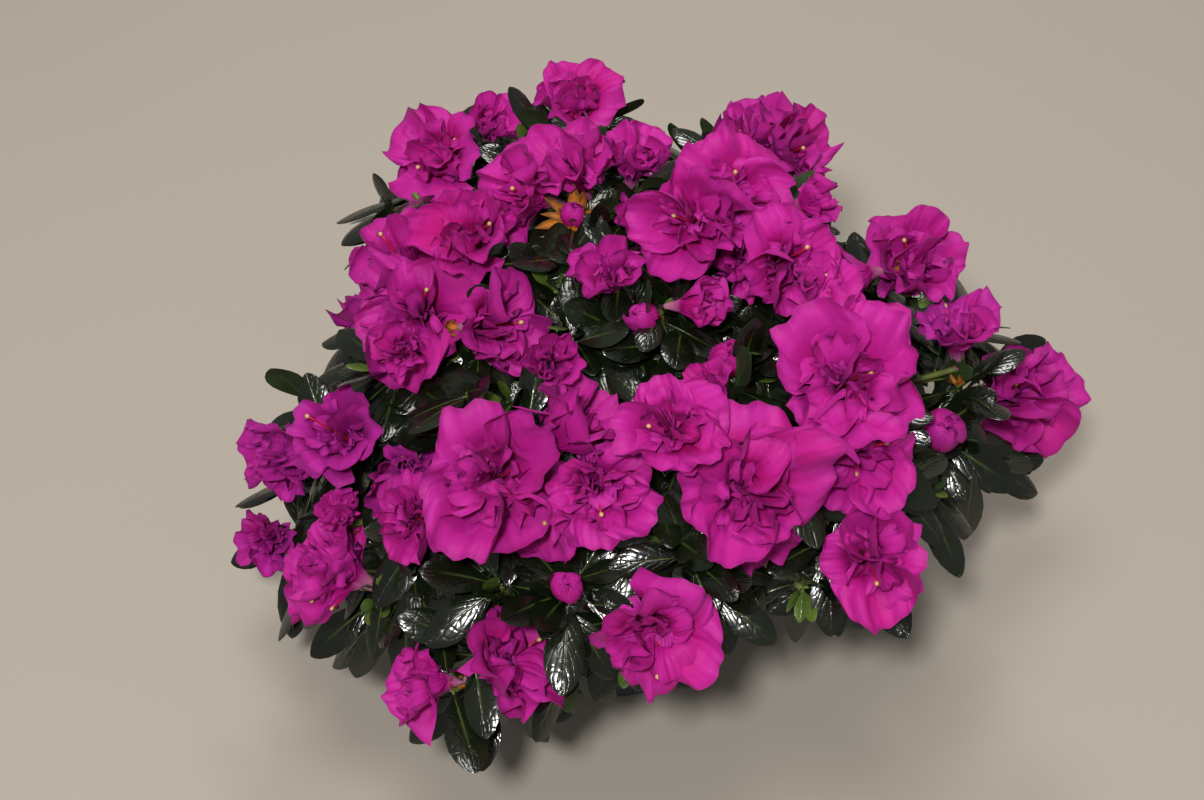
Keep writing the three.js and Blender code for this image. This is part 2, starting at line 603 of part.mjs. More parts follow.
// The leaves of a shoot, which cross nothing but the twig they grow from.
function growLeaves(mass, own, masses) {
  whorl(own.shoot, (blade) => {
    const solid = solidOf(blade);
    const box = solid.boundingBox();
    const isCrossed = (piece) =>
      piece !== own && !areApart(piece.box, box, 0) && piece.solid.intersect(solid).volume() > 0;
    if (!isFree(mass, masses, solid) || mass.pieces.some(isCrossed)) return false;
    mass.pieces.push(pieceOf(solid));
    return true;
  });
}

// All masses of foliage, grown together: flowering twigs, leafy ones, blossom and then leaves. The wood,
// the soil and the pot are in the way as one mass more.
function growMasses(sprays, wood) {
  const grown = sprays.map((spray) => ({ spray, twigs: twigsOf(spray), pieces: [] }));
  const masses = [{ pieces: wood.map((geometry) => pieceOf(solidOf(geometry))) }, ...grown];
  grown.forEach((own) => growTwigs({ own, masses, isLater: false }));
  grown.forEach((own) => growTwigs({ own, masses, isLater: true }));
  const twigs = grown.flatMap((mass) => mass.pieces.map((twig) => ({ mass, twig })));
  const blooms = twigs.flatMap(({ mass, twig }) => growTip(mass, twig.shoot, masses));
  openBlooms(blooms, masses);
  twigs.forEach(({ mass, twig }) => growLeaves(mass, twig, masses));
  return new Map(grown.map(({ spray, pieces }) => [spray, fused(pieces.map((piece) => piece.solid))]));
}

const MATERIALS = {
  pot: { color: 0x3c4148, roughness: 0.6 },
  soil: { color: 0x2e2018, roughness: 0.95 },
  bark: { color: 0x6b5541, roughness: 0.85 },
  foliage: { color: 0xa82d8e, roughness: 0.55 },
};

function named(name, geometry, kind) {
  const mesh = new THREE.Mesh(geometry, new THREE.MeshStandardMaterial({ ...MATERIALS[kind], metalness: 0 }));
  mesh.name = name;
  return mesh;
}

const plant = new THREE.Group();
const sprays = SPRAYS.map(layOut);
const limbs = new Map([["trunk", trunk()]]);
for (const spray of sprays) limbs.set(spray.name, bough(spray, limbs));
const [potShape, soilShape] = [pot(), soil()];
const wood = [potShape, soilShape, ...[...limbs.values()].map((each) => each.geometry)];
const foliage = growMasses(sprays, wood);

plant.add(named("pot", potShape, "pot"));
plant.add(named("soil", soilShape, "soil"));
plant.add(named("trunk", limbs.get("trunk").geometry, "bark"));
for (const spray of sprays) {
  plant.add(named(spray.name + "_bough", limbs.get(spray.name).geometry, "bark"));
  plant.add(named(spray.name + "_foliage", foliage.get(spray), "foliage"));
}

export default plant;
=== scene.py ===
"""A potted double-flowered azalea, dressed round its CAD model.

The growth rule of the CAD source is written again here in millimetres, and is carried on to finer
twigs, single leaves and single petals. Every shape is a surface of two parameters worked out with
numpy. Pieces are made in metres in the frame of the CAD model.
"""

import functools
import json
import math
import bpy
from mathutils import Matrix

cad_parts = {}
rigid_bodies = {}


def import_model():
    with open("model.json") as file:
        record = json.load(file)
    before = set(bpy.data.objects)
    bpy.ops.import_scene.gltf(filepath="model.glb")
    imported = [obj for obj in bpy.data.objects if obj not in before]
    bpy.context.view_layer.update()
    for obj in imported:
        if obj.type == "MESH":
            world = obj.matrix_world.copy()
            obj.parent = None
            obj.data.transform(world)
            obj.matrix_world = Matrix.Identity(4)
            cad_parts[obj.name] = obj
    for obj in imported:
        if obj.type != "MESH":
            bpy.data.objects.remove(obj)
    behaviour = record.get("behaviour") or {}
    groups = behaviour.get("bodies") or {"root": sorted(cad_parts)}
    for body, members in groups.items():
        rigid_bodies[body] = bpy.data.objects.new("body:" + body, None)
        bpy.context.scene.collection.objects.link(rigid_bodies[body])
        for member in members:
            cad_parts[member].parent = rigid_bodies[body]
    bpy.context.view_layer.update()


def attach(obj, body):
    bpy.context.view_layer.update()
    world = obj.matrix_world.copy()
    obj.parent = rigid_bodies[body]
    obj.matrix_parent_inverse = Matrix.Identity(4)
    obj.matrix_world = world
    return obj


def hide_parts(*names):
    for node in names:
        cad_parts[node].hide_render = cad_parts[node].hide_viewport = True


bl_info = {
    "name": "Potted Azalea",
    "version": (1, 0, 0),
    "blender": (4, 5, 0),
    "location": "3D View > Sidebar > Azalea",
    "description": "Builds the looks of a potted azalea round its CAD model",
    "category": "Add Mesh",
}

from types import SimpleNamespace

import bpy
import numpy as np
from bpy.props import FloatProperty, FloatVectorProperty, PointerProperty
from mathutils import Vector

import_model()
MM = 0.001

# Pot, soil and trunk, as in the CAD source
POT_HEIGHT = 118
POT_FOOT_RADIUS = 59
POT_RIM_RADIUS = 70
POT_WALL = 3
POT_FLOOR = 4
POT_EDGE = 1.5
SOIL_HEIGHT = 108
SOIL_DOME = 3
CLEAR = 0.3
TRUNK_LENGTH = 32
TRUNK_LEAN = (4, -3)
TRUNK_RADIUS = 7.5
TRUNK_TIP_RADIUS = 4.5
ROOT_FLARE = 4
FLARE_LENGTH = 0.12

# Boughs, stems and twigs, as in the CAD source
MAIN_BOUGH_RADIUS = 3
SIDE_BOUGH_RADIUS = 2.3
BOUGH_TIP_RADIUS = 1.7
LEAVE_SHARE = 0.3
ARRIVE_SHARE = 0.35
LOWEST_ENTRY = POT_HEIGHT + 9
FLAT_SHARE = 0.94
HEART = np.array([0.0, 0.0, 118.0])
ENTRY_SHARE = 0.5
STEM_TIP_RADIUS = 1.5
FIRST_FORK = 0.2
FORK_STEP = 0.11
TWIG_RADIUS = 1.05
TWIG_TIP_RADIUS = 1.5
TWIG_SPREAD = 0.8
LEAF_SHOOT_SET_BACK = 20
PEDICEL = 9
LEAF_STEP = 0.8
LIFT = 0.35
TILT = 0.2

# Leaves, as in the CAD source
LEAF_LENGTH = (36, 46)
LEAF_WIDTH_SHARE = 0.42
LEAF_STRAY = 14
LEAF_OPENING = (60, 92)
LEAF_DROOP = 0.12
LEAF_CLOSINGS = (1, 0.85, 0.7, 0.55, 0.4)
LEAF_ROLL = 0.35
YOUNG = 3

# Blossom kinds, as in the CAD source: radius, tube, leaves, room. W wide, O open, C half open, B bud,
# L a leafy shoot
KINDS = {
    "W": (36, 28, 5, 1.6),
    "O": (28, 24, 4, 1.3),
    "C": (21, 20, 4, 1),
    "B": (8, 16, 5, 0.6),
    "L": (0, 0, 7, 0.8),
}
HALF_OPEN_SIZE = 0.85
OPENNESS = {"W": (1, 1), "O": (0.75, 1), "C": (0.3, 0.75)}
HEART_PETALS = {"W": 15, "O": 12, "C": 9}

# name, bearing and rise of its axis in degrees, reach, turn of its ring of shoots, their spread,
# shoots, what its bough grows from, how far along, and the shade of its petals: 0 the petal colour in full
# light, 1 older blooms, 2 a darker copy of it, painted shade for the petals at the shaded edge
SPRAYS = [
    ("top_centre", -92, 83, 156, 295, 28, "CBLL", "trunk", 1, 1),
    ("front_left", -118, 44, 154, 212, 38, "WCL", "trunk", 0.62, 1),
    ("front_mid", -93, 46, 160, 205, 34, "OOLL", "trunk", 0.38, 0),
    ("front_right", -63, 44, 168, 146, 38, "WOLL", "trunk", 0.62, 0),
    ("right_big", -30, 48, 170, 274, 32, "WOL", "trunk", 0.38, 0),
    ("right_shoulder", 8, 41, 176, 197, 26, "OCL", "trunk", 0.62, 1),
    ("back_right", 60, 39, 172, 322, 28, "OOL", "trunk", 0.38, 1),
    ("back_peak", 98, 43, 182, 190, 26, "OL", "trunk", 0.62, 0),
    ("back_left", 127, 37, 176, 28, 27, "OCL", "trunk", 0.36, 0),
    ("left_shoulder", 164, 48, 150, 270, 30, "OOL", "trunk", 0.62, 1),
    ("left_low", -157, 30, 158, 190, 40, "OCLL", "trunk", 0.38, 2),
    ("front", -83, 24, 168, 147, 36, "OBLL", "front_mid", 0.4, 0),
    ("front_corner", -107, 14, 164, 194, 36, "OCLLL", "front_left", 0.3, 0),
    ("centre_low", -112, 64, 154, -39, 28, "COLL", "front_mid", 0.62, 1),
    ("right_low", -46, 26, 176, 262, 46, "OLLL", "front_right", 0.35, 0),
    ("centre_right", -50, 62, 156, 240, 26, "BCLL", "front_right", 0.55, 1),
    ("right_front", -21, 30, 176, 80, 38, "BOLL", "right_big", 0.35, 2),
    ("right_upper", -12, 62, 166, 67, 36, "OCL", "right_big", 0.55, 0),
    ("right_edge", 3, 10, 202, -40, 40, "OLL", "right_shoulder", 0.35, 1),
    ("upper_right", 26, 69, 163, 240, 36, "WOCLL", "right_shoulder", 0.55, 0),
    ("back_low_right", 38, 4, 168, 90, 32, "OCLL", "back_right", 0.35, 1),
    ("back_low", 92, 2, 162, 30, 32, "OCLL", "back_peak", 0.3, 0),
    ("upper_mid", 90, 70, 158, 225, 28, "OBCCL", "back_peak", 0.55, 0),
    ("back_low_left", 142, 1, 144, 30, 32, "OCLL", "back_left", 0.4, 2),
    ("upper_left", 134, 70, 154, 219, 32, "OOLL", "left_shoulder", 0.45, 0),
    ("left_mid", -159, 50, 150, 18, 38, "COLL", "left_low", 0.5, 1),
    ("left_edge", -166, 1, 166, 90, 30, "CLL", "left_low", 0.3, 2),
    ("left_front", -142, 10, 158, 110, 32, "OCLLL", "left_low", 0.7, 0),
]

# Shoots whose pose the photograph shows: spray and shoot, then its facing as seen (right, up, towards
# the viewer), how far it has opened, its size, and how far it stands off the rule's place as seen
# (right, up) in millimetres
POSED = {
    (7, 0): (0, 0.5, 0.85, 0.75, 0.79, 3, -12),
    (8, 0): (-0.5, 0.3, 0.8, 0.9, 0.95, 4, -11),
    (8, 1): (0.3, 0.5, 0.75, 0.3, 0.83, 7, -5),
    (24, 0): (-0.75, 0.1, 0.55, 0.4, 0.9, -2, -5),
    (24, 1): (-0.2, 0.3, 0.9, 0.6, 0.94, -3, -4),
    (22, 0): (-0.3, 0.6, 0.6, 0.7, 0.97, -17, -8),
    (22, 1): (0, 0.5, 0.8, 0, 0.7, 3, -14),
    (22, 2): (0, 0.1, 1, 0.12, 0.79, -6, -19),
    (22, 3): (0.1, 0.7, 0.6, 0.6, 0.94, -9, -9),
    (0, 0): (-0.15, 0.5, 0.8, 0.4, 0.94, 0, -4),
    (0, 1): (-0.5, 0.1, 0.8, 0, 0.8, 0, 0),
    (9, 0): (-0.3, 0.5, 0.8, 0.75, 0.94, 2, -2),
    (9, 1): (-0.2, 0, 1, 1, 1.12, 8, -9),
    (25, 0): (-0.1, 0.1, 1, 0.12, 0.73, 0, 0),
    (25, 1): (0.6, 0, 0.7, 0.8, 0.94, 8, -6),
    (6, 0): (-0.05, 0.75, 0.55, 0.5, 0.85, 1, -5),
    (6, 1): (0.7, 0.4, 0.5, 0.7, 0.85, -3, -3),
    (17, 0): (0.2, -0.2, 0.95, 0.9, 0.88, -1, 4),
    (17, 1): (0.8, 0.35, 0.4, 0.25, 0.75, 2, 12),
    (19, 0): (0, 0.3, 0.95, 0.9, 0.73, 0, 0),
    (19, 1): (-0.2, 0, 1, 0.8, 0.94, 0, 4),
    (19, 2): (0, -0.3, 0.95, 0.5, 0.99, -21, -7),
    (5, 0): (0.25, 0.45, 0.8, 0.9, 0.95, 1, 0),
    (5, 1): (-0.85, -0.2, 0.4, 0.25, 0.83, -7, -15),
    (4, 0): (0.05, 0.15, 1, 1, 0.99, 0, -3),
    (4, 1): (0.05, -0.3, 0.95, 1, 0.95, 4, -3),
    (16, 0): (0.1, 0.1, 1, 0, 1.25, 4, 0),
    (16, 1): (-0.1, 0.75, 0.5, 0.6, 0.79, 9, 7),
    (18, 0): (0.35, -0.1, 0.85, 0.9, 1.01, -8, -2),
    (14, 0): (0.1, 0, 1, 0.9, 0.94, 0, -2),
    (3, 0): (0.1, -0.1, 1, 1, 0.94, 0, -2),
    (3, 1): (-0.2, 0.3, 0.95, 0.8, 0.88, 0, 2),
    (15, 0): (0.1, 0.2, 1, 0, 1, 2, 1),
    (15, 1): (-0.3, 0.5, 0.5, 0.35, 0.66, 7, 8),
    (13, 0): (0.15, 0.1, 1, 0.15, 0.83, 0, 2),
    (13, 1): (0.5, 0.75, 0.35, 0.45, 0.94, -14, -8),
    (2, 0): (0.1, -0.1, 1, 0.85, 0.97, 0, 0),
    (2, 1): (-0.25, -0.7, 0.55, 0.8, 0.94, 5, 8),
    (1, 0): (-0.1, 0.1, 1, 0.9, 0.89, 2, 0),
    (1, 1): (-0.2, 0, 0.95, 0.75, 0.99, -4, 2),
    (10, 0): (-0.2, 0.2, 0.95, 0.5, 0.9, 8, 2),
    (10, 1): (-0.8, 0.1, 0.5, 0.25, 0.94, -7, 3),
    (26, 0): (-0.3, 0, 0.9, 0.3, 0.94, 3, -9),
    (27, 0): (-0.7, 0.55, 0.35, 0.4, 0.88, 3, 10),
    (27, 1): (-0.2, 0.4, 0.8, 0.3, 0.68, 8, 3),
    (12, 0): (0.6, 0.35, 0.55, 0.75, 0.99, 0, 7),
    (12, 1): (-0.8, 0, 0.45, 0.3, 0.99, -2, -5),
    (11, 0): (0, -0.45, 0.9, 0.95, 1.02, 0, 3),
    (27, 3): (-0.2, -0.3, 0.9, 1, 0.95, -6, 9),
    (12, 2): (-0.1, -0.7, 0.6, 1, 0.9, -24, 4),
    (12, 3): (0.3, -0.5, 0.7, 1, 0.75, -12, -3),
    (11, 2): (-0.3, -0.6, 0.6, 1, 0.7, -5, 10),
    (11, 3): (0.2, -0.3, 0.9, 1, 0.85, 0, 4),
    (14, 1): (0, -0.7, 0.6, 1, 0.75, -7, 16),
    (14, 2): (0.4, -0.3, 0.8, 1, 0.85, 0, 0),
    (18, 1): (0.4, -0.4, 0.7, 1, 0.85, -10, 3),
    (11, 1): (0, 0.2, 1, 0.1, 0.85, -7, 6),
    (6, 2): (0.2, 0.7, 0.6, 1, 0.75, 0, -14),
    (7, 1): (-0.3, 0.7, 0.55, 1, 0.75, 0, -12),
}
# A second bloom from the tip of a shoot, posed in the same way
TWINS = [
    (27, 0, (-0.95, 0, 0.35, 0.35, 0.88, -5, -8)),
    (10, 1, (-0.4, -0.2, 0.85, 0.2, 0.75, 8, -3)),
    (3, 2, (0.2, -0.75, 0.45, 0.8, 0.83, 14, 14)),
    (24, 3, (-0.3, 0.5, 0.8, 0.6, 0.83, 4, 12)),
    (0, 1, (0.85, 0, 0.45, 0.1, 0.6, 24, 4)),
    (10, 2, (0.1, -0.2, 1, 0.6, 0.83, 4, 10)),
    (17, 2, (0.2, 0.5, 0.8, 0.5, 0.72, 34, 22)),
]
TWIN_FORK = 0.8
WAY_SHARE = 0.5
VIEW_PITCH = math.radians(50)

X = np.array([1.0, 0.0, 0.0])
Z = np.array([0.0, 0.0, 1.0])
SEEN_UP = np.array([0.0, math.sin(VIEW_PITCH), math.cos(VIEW_PITCH)])
TOWARDS = np.array([0.0, -math.cos(VIEW_PITCH), math.sin(VIEW_PITCH)])
WORD = 0xFFFFFFFF


def chance(*keys):
    """A number from 0 to 1 that depends only on the whole numbers given, as in the CAD source."""
    mixed = 2654435769
    for key in keys:
        mixed = ((mixed ^ key) * 2246822507) & WORD
        mixed ^= mixed >> 13
        mixed = (mixed * 3266489909) & WORD
        mixed ^= mixed >> 16
    return mixed / (WORD + 1)


def between(low, high, *keys):
    return low + (high - low) * chance(*keys)


def drawer(*keys):
    """A function that draws between two values, by the number of the draw."""
    return lambda number, low, high: between(low, high, *keys, number)


def unit(way):
    way = np.asarray(way, float)
    return way / np.linalg.norm(way, axis=-1, keepdims=True)


def aim(bearing, rise):
    """The direction with a bearing from +X and a rise above the level, in degrees."""
    b, up = math.radians(bearing), math.radians(rise)
    return np.array([math.cos(up) * math.cos(b), math.cos(up) * math.sin(b), math.sin(up)])


def square_to(axis):
    """Two directions square to an axis and to each other."""
    first = unit(X - axis[0] * axis)
    return first, np.cross(axis, first)


def wall_at(height):
    """The outer radius of the pot at a height."""
    return POT_FOOT_RADIUS + (POT_RIM_RADIUS - POT_FOOT_RADIUS) / POT_HEIGHT * height


def round_about(axis, angle):
    """The direction square to an axis that stands at an angle round it."""
    first, second = square_to(axis)
    return math.cos(angle) * first + math.sin(angle) * second


class Curve:
    """A Bezier curve that is measured by shares of its length."""

    def __init__(self, *corners):
        self.corners = np.array(corners, float)
        self.steps = np.linspace(0, 1, 201)
        gaps = np.linalg.norm(np.diff(self._blend(self.corners, self.steps), axis=0), axis=1)
        self.lengths = np.concatenate([[0], np.cumsum(gaps)])
        self.length = self.lengths[-1]

    @staticmethod
    def _blend(corners, t):
        """Halfway points of halfway points: each round mixes neighbours by t until one is left."""
        row = np.repeat(corners[:, None, :], len(t), axis=1)
        t = t[:, None]
        while len(row) > 1:
            row = row[:-1] * (1 - t) + row[1:] * t
        return row[0]

    def _steps_at(self, shares):
        return np.interp(np.atleast_1d(shares) * self.length, self.lengths, self.steps)

    def places(self, shares):
        return self._blend(self.corners, self._steps_at(shares))

    def ways(self, shares):
        return unit(self._blend(np.diff(self.corners, axis=0), self._steps_at(shares)))

    def at(self, share):
        return self.places(share)[0], self.ways(share)[0]


def bend(start, leaving, end, arriving):
    """A curve that leaves its start and arrives at its end in given directions."""
    span = np.linalg.norm(end - start)
    return Curve(start, start + leaving * LEAVE_SHARE * span, end - arriving * ARRIVE_SHARE * span, end)


def across(tangent, start, end):
    """The way from start to end, square to a tangent."""
    way = end - start
    return unit(way - tangent * np.dot(way, tangent))


def seat(shoot):
    """Puts a shoot's calyx and node behind its face."""
    shoot.calyx = shoot.face - shoot.facing * shoot.tube
    shoot.node = shoot.face if shoot.kind == "L" else shoot.calyx - shoot.facing * PEDICEL


def pose(shoot, seen):
    """Turns a shoot to its facing as seen, and moves and sizes it."""
    right, up, towards, shoot.openness, size, aside, rise = seen
    shoot.size *= size
    shoot.facing = unit(right * X + up * SEEN_UP + towards * TOWARDS)
    shoot.face = shoot.face + aside * X + rise * SEEN_UP
    shoot.radius, shoot.tube = shoot.radius * size, shoot.tube * size
    shoot.way = unit(shoot.face - shoot.facing * WAY_SHARE * shoot.tube - HEART)
    seat(shoot)


def twins(shoots):
    """The second blooms, each beside the shoot whose tip it shares."""
    made = []
    for number, (index, k, seen) in enumerate(TWINS):
        beside = next(shoot for shoot in shoots if shoot.key == (index, k))
        twin = SimpleNamespace(**vars(beside))
        twin.kind, twin.key, twin.size = "O", (index, k, number), 1.0
        twin.radius, twin.tube, _, twin.room = KINDS["O"]
        twin.leaves = 0
        pose(twin, seen)
        curve = bend(*beside.twig.curve.at(TWIN_FORK), twin.calyx, twin.way)
        twin.twig = tapered(curve, TWIG_RADIUS, TWIG_TIP_RADIUS)
        made.append(twin)
    return made


def lay_out(index, row):
    """Where a spray's stem begins and forks, and each of its shoots with its direction and places."""
    name, bearing, rise, reach, turn, spread, kinds, parent, at, shade = row
    axis = aim(bearing, rise)
    entry = HEART + ENTRY_SHARE * reach * axis
    entry[2] = max(entry[2], LOWEST_ENTRY)
    arriving = unit(HEART + reach * axis - entry)
    shoots = []
    for k, kind in enumerate(kinds):
        radius, tube, leaves, room = KINDS[kind]
        angle = math.radians(turn + 360 * (k - 1) / (len(kinds) - 1))
        way = unit(axis + (0 if k == 0 else spread / reach) * round_about(axis, angle))
        over, up = square_to(way)
        tilt = [between(-TILT, TILT, index, k, n) for n in (1, 2)]
        shoot = SimpleNamespace(
            kind=kind, key=(index, k), way=way, radius=radius, tube=tube, leaves=leaves, room=room,
            shade=shade, openness=None, size=HALF_OPEN_SIZE if kind == "C" else 1.0,
            facing=unit(way + Z * LIFT * (1 - way[2]) + over * tilt[0] + up * tilt[1]),
            face=HEART + way * (reach - (LEAF_SHOOT_SET_BACK if kind == "L" else 0)),
        )
        seat(shoot)
        if shoot.key in POSED:
            pose(shoot, POSED[shoot.key])
        shoots.append(shoot)
    return SimpleNamespace(name=name, parent=parent, at=at, entry=entry, arriving=arriving, shoots=shoots)


def trunk_limb():
    foot = np.array([0, 0, SOIL_HEIGHT + CLEAR], float)
    tip = foot + np.array([*TRUNK_LEAN, TRUNK_LENGTH])
    curve = Curve(foot, foot + Z * TRUNK_LENGTH / 2, tip)

    def radius_at(along):
        taper = TRUNK_RADIUS + (TRUNK_TIP_RADIUS - TRUNK_RADIUS) * along
        return taper + ROOT_FLARE * np.exp(-along / FLARE_LENGTH)

    return SimpleNamespace(curve=curve, radius_at=radius_at, origin=foot)


def tapered(curve, low, high, origin=None):
    """A limb along a curve, from one radius to another. Its origin is where it grows from, if inside."""

    def radius_at(along):
        return low + (high - low) * np.asarray(along, float)

    origin = curve.corners[0] if origin is None else origin
    return SimpleNamespace(curve=curve, radius_at=radius_at, origin=origin)


def bough_limb(spray, limbs):
    """A bough leaves its parent squarely and bends to arrive along its spray's stem."""
    parent = limbs[spray.parent]
    radius = MAIN_BOUGH_RADIUS if spray.parent == "trunk" else SIDE_BOUGH_RADIUS
    on_parent, tangent = parent.curve.at(spray.at)
    is_tip = spray.at == 1
    leaving = tangent if is_tip else across(tangent, on_parent, spray.entry)
    below = max(0, spray.at - radius / parent.curve.length)
    start = on_parent + leaving * (CLEAR + (0 if is_tip else parent.radius_at(below) * FLAT_SHARE))
    return tapered(bend(start, leaving, spray.entry, spray.arriving), radius, BOUGH_TIP_RADIUS, on_parent)


def stem_limb(spray):
    shoot = spray.shoots[0]
    curve = bend(spray.entry, spray.arriving, shoot.calyx, shoot.way)
    return tapered(curve, BOUGH_TIP_RADIUS, STEM_TIP_RADIUS)


def twig_curve(parent, at, end, arriving):
    """A twig's curve: it leaves its parent widely, forwards, and bends to its end."""
    start, tangent = parent.at(at)
    return bend(start, unit(across(tangent, start, end) + TWIG_SPREAD * tangent), end, arriving)


def twig_limb(stem, shoot, order):
    """A side twig to each shoot, each a step along the stem beyond the last."""
    end = shoot.node if shoot.kind == "L" else shoot.calyx
    curve = twig_curve(stem.curve, FIRST_FORK + FORK_STEP * order, end, shoot.way)
    return tapered(curve, TWIG_RADIUS, TWIG_TIP_RADIUS)


@functools.lru_cache(maxsize=1)
def grown():
    """The whole plant by the rule: its limbs by name, its shoots each with a twig, and its blooms."""
    sprays = [lay_out(index, row) for index, row in enumerate(SPRAYS)]
    limbs = {"trunk": trunk_limb()}
    for spray in sprays:
        limbs[spray.name] = bough_limb(spray, limbs)
        stem = stem_limb(spray)
        for k, shoot in enumerate(spray.shoots):
            shoot.twig = stem if k == 0 else twig_limb(stem, shoot, k - 1)
    shoots = [shoot for spray in sprays for shoot in spray.shoots]
    shoots += twins(shoots)
    blooms = [shoot for shoot in shoots if shoot.kind != "L"]
    return SimpleNamespace(limbs=limbs, shoots=shoots, blooms=blooms)


# Meshes


class Sheaf:
    """Like shapes gathered to make one mesh. Places are in millimetres."""

    def __init__(self):
        self.places, self.patterns, self.rims, self.count = [], [], [], 0
        self.faces, self.slots = {4: [], 3: []}, {4: [], 3: []}

    def add(self, places, patterns, rims, *groups):
        """Adds vertices with their pattern coordinates and whether they lie on a rim, and groups of faces
        with their slots. The faces count from these vertices."""
        self.places.append(places.reshape(-1, 3))
        self.patterns.append(patterns.reshape(-1, 2))
        self.rims.append(rims)
        for faces, slots in groups:
            self.faces[faces.shape[1]].append(faces + self.count)
            self.slots[faces.shape[1]].append(slots)
        self.count += len(self.places[-1])

    def piece(self, name, finishes, nodes=(), slot=None):
        """One smooth-shaded object from what was gathered, riding on the plant's only body."""
        places, patterns, rims = (np.concatenate(each) for each in (self.places, self.patterns, self.rims))
        faces = self.faces[4] + self.faces[3]
        slots = np.concatenate(self.slots[4] + self.slots[3])
        mesh = bpy.data.meshes.new(name)
        corners = [face for part in faces for face in part.tolist()]
        mesh.from_pydata(places * MM, [], corners, shade_flat=False)
        mesh.polygons.foreach_set("material_index", slots.astype(np.int32))
        loops = np.concatenate([part.reshape(-1) for part in faces])
        layer = mesh.uv_layers.new(name="pattern")
        layer.data.foreach_set("uv", patterns[loops].astype(np.float32).reshape(-1))
        if rims.any():
            ends = np.zeros(2 * len(mesh.edges), np.int32)
            mesh.edges.foreach_get("vertices", ends)
            sharp = mesh.attributes.new("sharp_edge", "BOOLEAN", "EDGE")
            sharp.data.foreach_set("value", rims[ends.reshape(-1, 2)].all(axis=1))
        mesh.validate()
        for finish in finishes:
            mesh.materials.append(finish)
        made = bpy.data.objects.new(name, mesh)
        bpy.context.scene.collection.objects.link(made)
        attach(made, "root")
        if nodes:
            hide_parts(*nodes)


def grid_quads(index):
    """Quads between neighbouring rows and columns of a grid of vertex numbers."""
    corners = [index[:-1, :-1], index[:-1, 1:], index[1:, 1:], index[1:, :-1]]
    return np.stack(corners, axis=-1).reshape(-1, 4)


def add_blades(sheaf, face, patterns, thickness, face_slots, back_slots):
    """Adds thin closed blades. Face holds places as [blade, along, across, 3]. The back is the face
    moved in along its normal, the cross product of the ways along and across, and both share the rim."""
    total, rows, columns = face.shape[:3]
    normal = np.cross(np.gradient(face, axis=1), np.gradient(face, axis=2))
    normal /= np.maximum(np.linalg.norm(normal, axis=-1, keepdims=True), 1e-9)
    back = (face - normal * thickness)[:, 1:-1, 1:-1]
    front = np.arange(rows * columns).reshape(rows, columns)
    behind = front.copy()
    inner = (rows - 2) * (columns - 2)
    behind[1:-1, 1:-1] = rows * columns + np.arange(inner).reshape(rows - 2, columns - 2)
    one = np.concatenate([grid_quads(front)[:, ::-1], grid_quads(behind)])
    quads = one + (np.arange(total) * (rows * columns + inner))[:, None, None]
    both = np.concatenate([patterns.reshape(-1, 2), patterns[1:-1, 1:-1].reshape(-1, 2)])
    rims = np.ones((rows, columns), bool)
    rims[1:-1, 1:-1] = False
    rims = np.concatenate([rims.reshape(-1), np.zeros(inner, bool)])
    slots = np.repeat([*face_slots, *back_slots], columns - 1)
    places = np.concatenate([face.reshape(total, -1, 3), back.reshape(total, -1, 3)], axis=1)
    group = (quads.reshape(-1, 4), np.tile(slots, total))
    sheaf.add(places, np.tile(both, (total, 1)), np.tile(rims, total), group)


def add_rings(sheaf, rings, poles, slots=0):
    """Adds rings of places as [ring, side, 3], shut at either end by a fan to a pole."""
    steps, sides = rings.shape[:2]
    index = np.arange(steps * sides).reshape(steps, sides)
    index = np.concatenate([index, index[:, :1]], axis=1)
    pole = np.full(sides, steps * sides)
    fans = [(pole, index[0, 1:], index[0, :-1]), (pole + 1, index[-1, :-1], index[-1, 1:])]
    fans = np.concatenate([np.stack(fan, axis=-1) for fan in fans])
    patterns = np.stack(np.meshgrid(np.arange(sides) / sides, np.linspace(0, 1, steps)), axis=-1)
    patterns = np.concatenate([patterns.reshape(-1, 2), [[0.5, 0], [0.5, 1]]])
    slots = np.broadcast_to(slots, steps - 1)
    places = np.concatenate([rings.reshape(-1, 3), poles])
    quads = (grid_quads(index), np.repeat(slots, sides))
    sheaf.add(places, patterns, np.zeros(len(places), bool), quads, (fans, np.repeat(slots[[0, -1]], sides)))


def add_tube(sheaf, places, radii, sides, slots=0, relief=1):
    """Adds a closed tube: rings carried along a path, each square to it. Relief is a factor on the
    radius as [ring, side]."""
    ways = unit(np.gradient(places, axis=0))
    chord = unit(places[-1] - places[0])
    aside = unit(np.cross(chord, Z if abs(chord[2]) < 0.8 else X))
    first = unit(aside - ways * (ways @ aside)[:, None])
    second = np.cross(ways, first)
    turn = (np.arange(sides) * 2 * math.pi / sides)[None, :, None]
    ring = first[:, None] * np.cos(turn) + second[:, None] * np.sin(turn)
    reach = (np.asarray(radii)[:, None] * relief)[..., None]
    add_rings(sheaf, places[:, None] + ring * reach, places[[0, -1]], slots)


def add_turned(sheaf, outline, sides, lift=lambda places: places):
    """Adds an outline of radius and height pairs, from axis to axis, turned about Z. Lift moves its
    places."""
    radii, heights = np.array(outline, float).T[..., None]
    turn = np.arange(sides) * 2 * math.pi / sides
    rings = np.stack(np.broadcast_arrays(radii * np.cos(turn), radii * np.sin(turn), heights), axis=-1)
    add_rings(sheaf, lift(rings[1:-1]), rings[[0, -1], 0] * [0, 0, 1])


# Materials


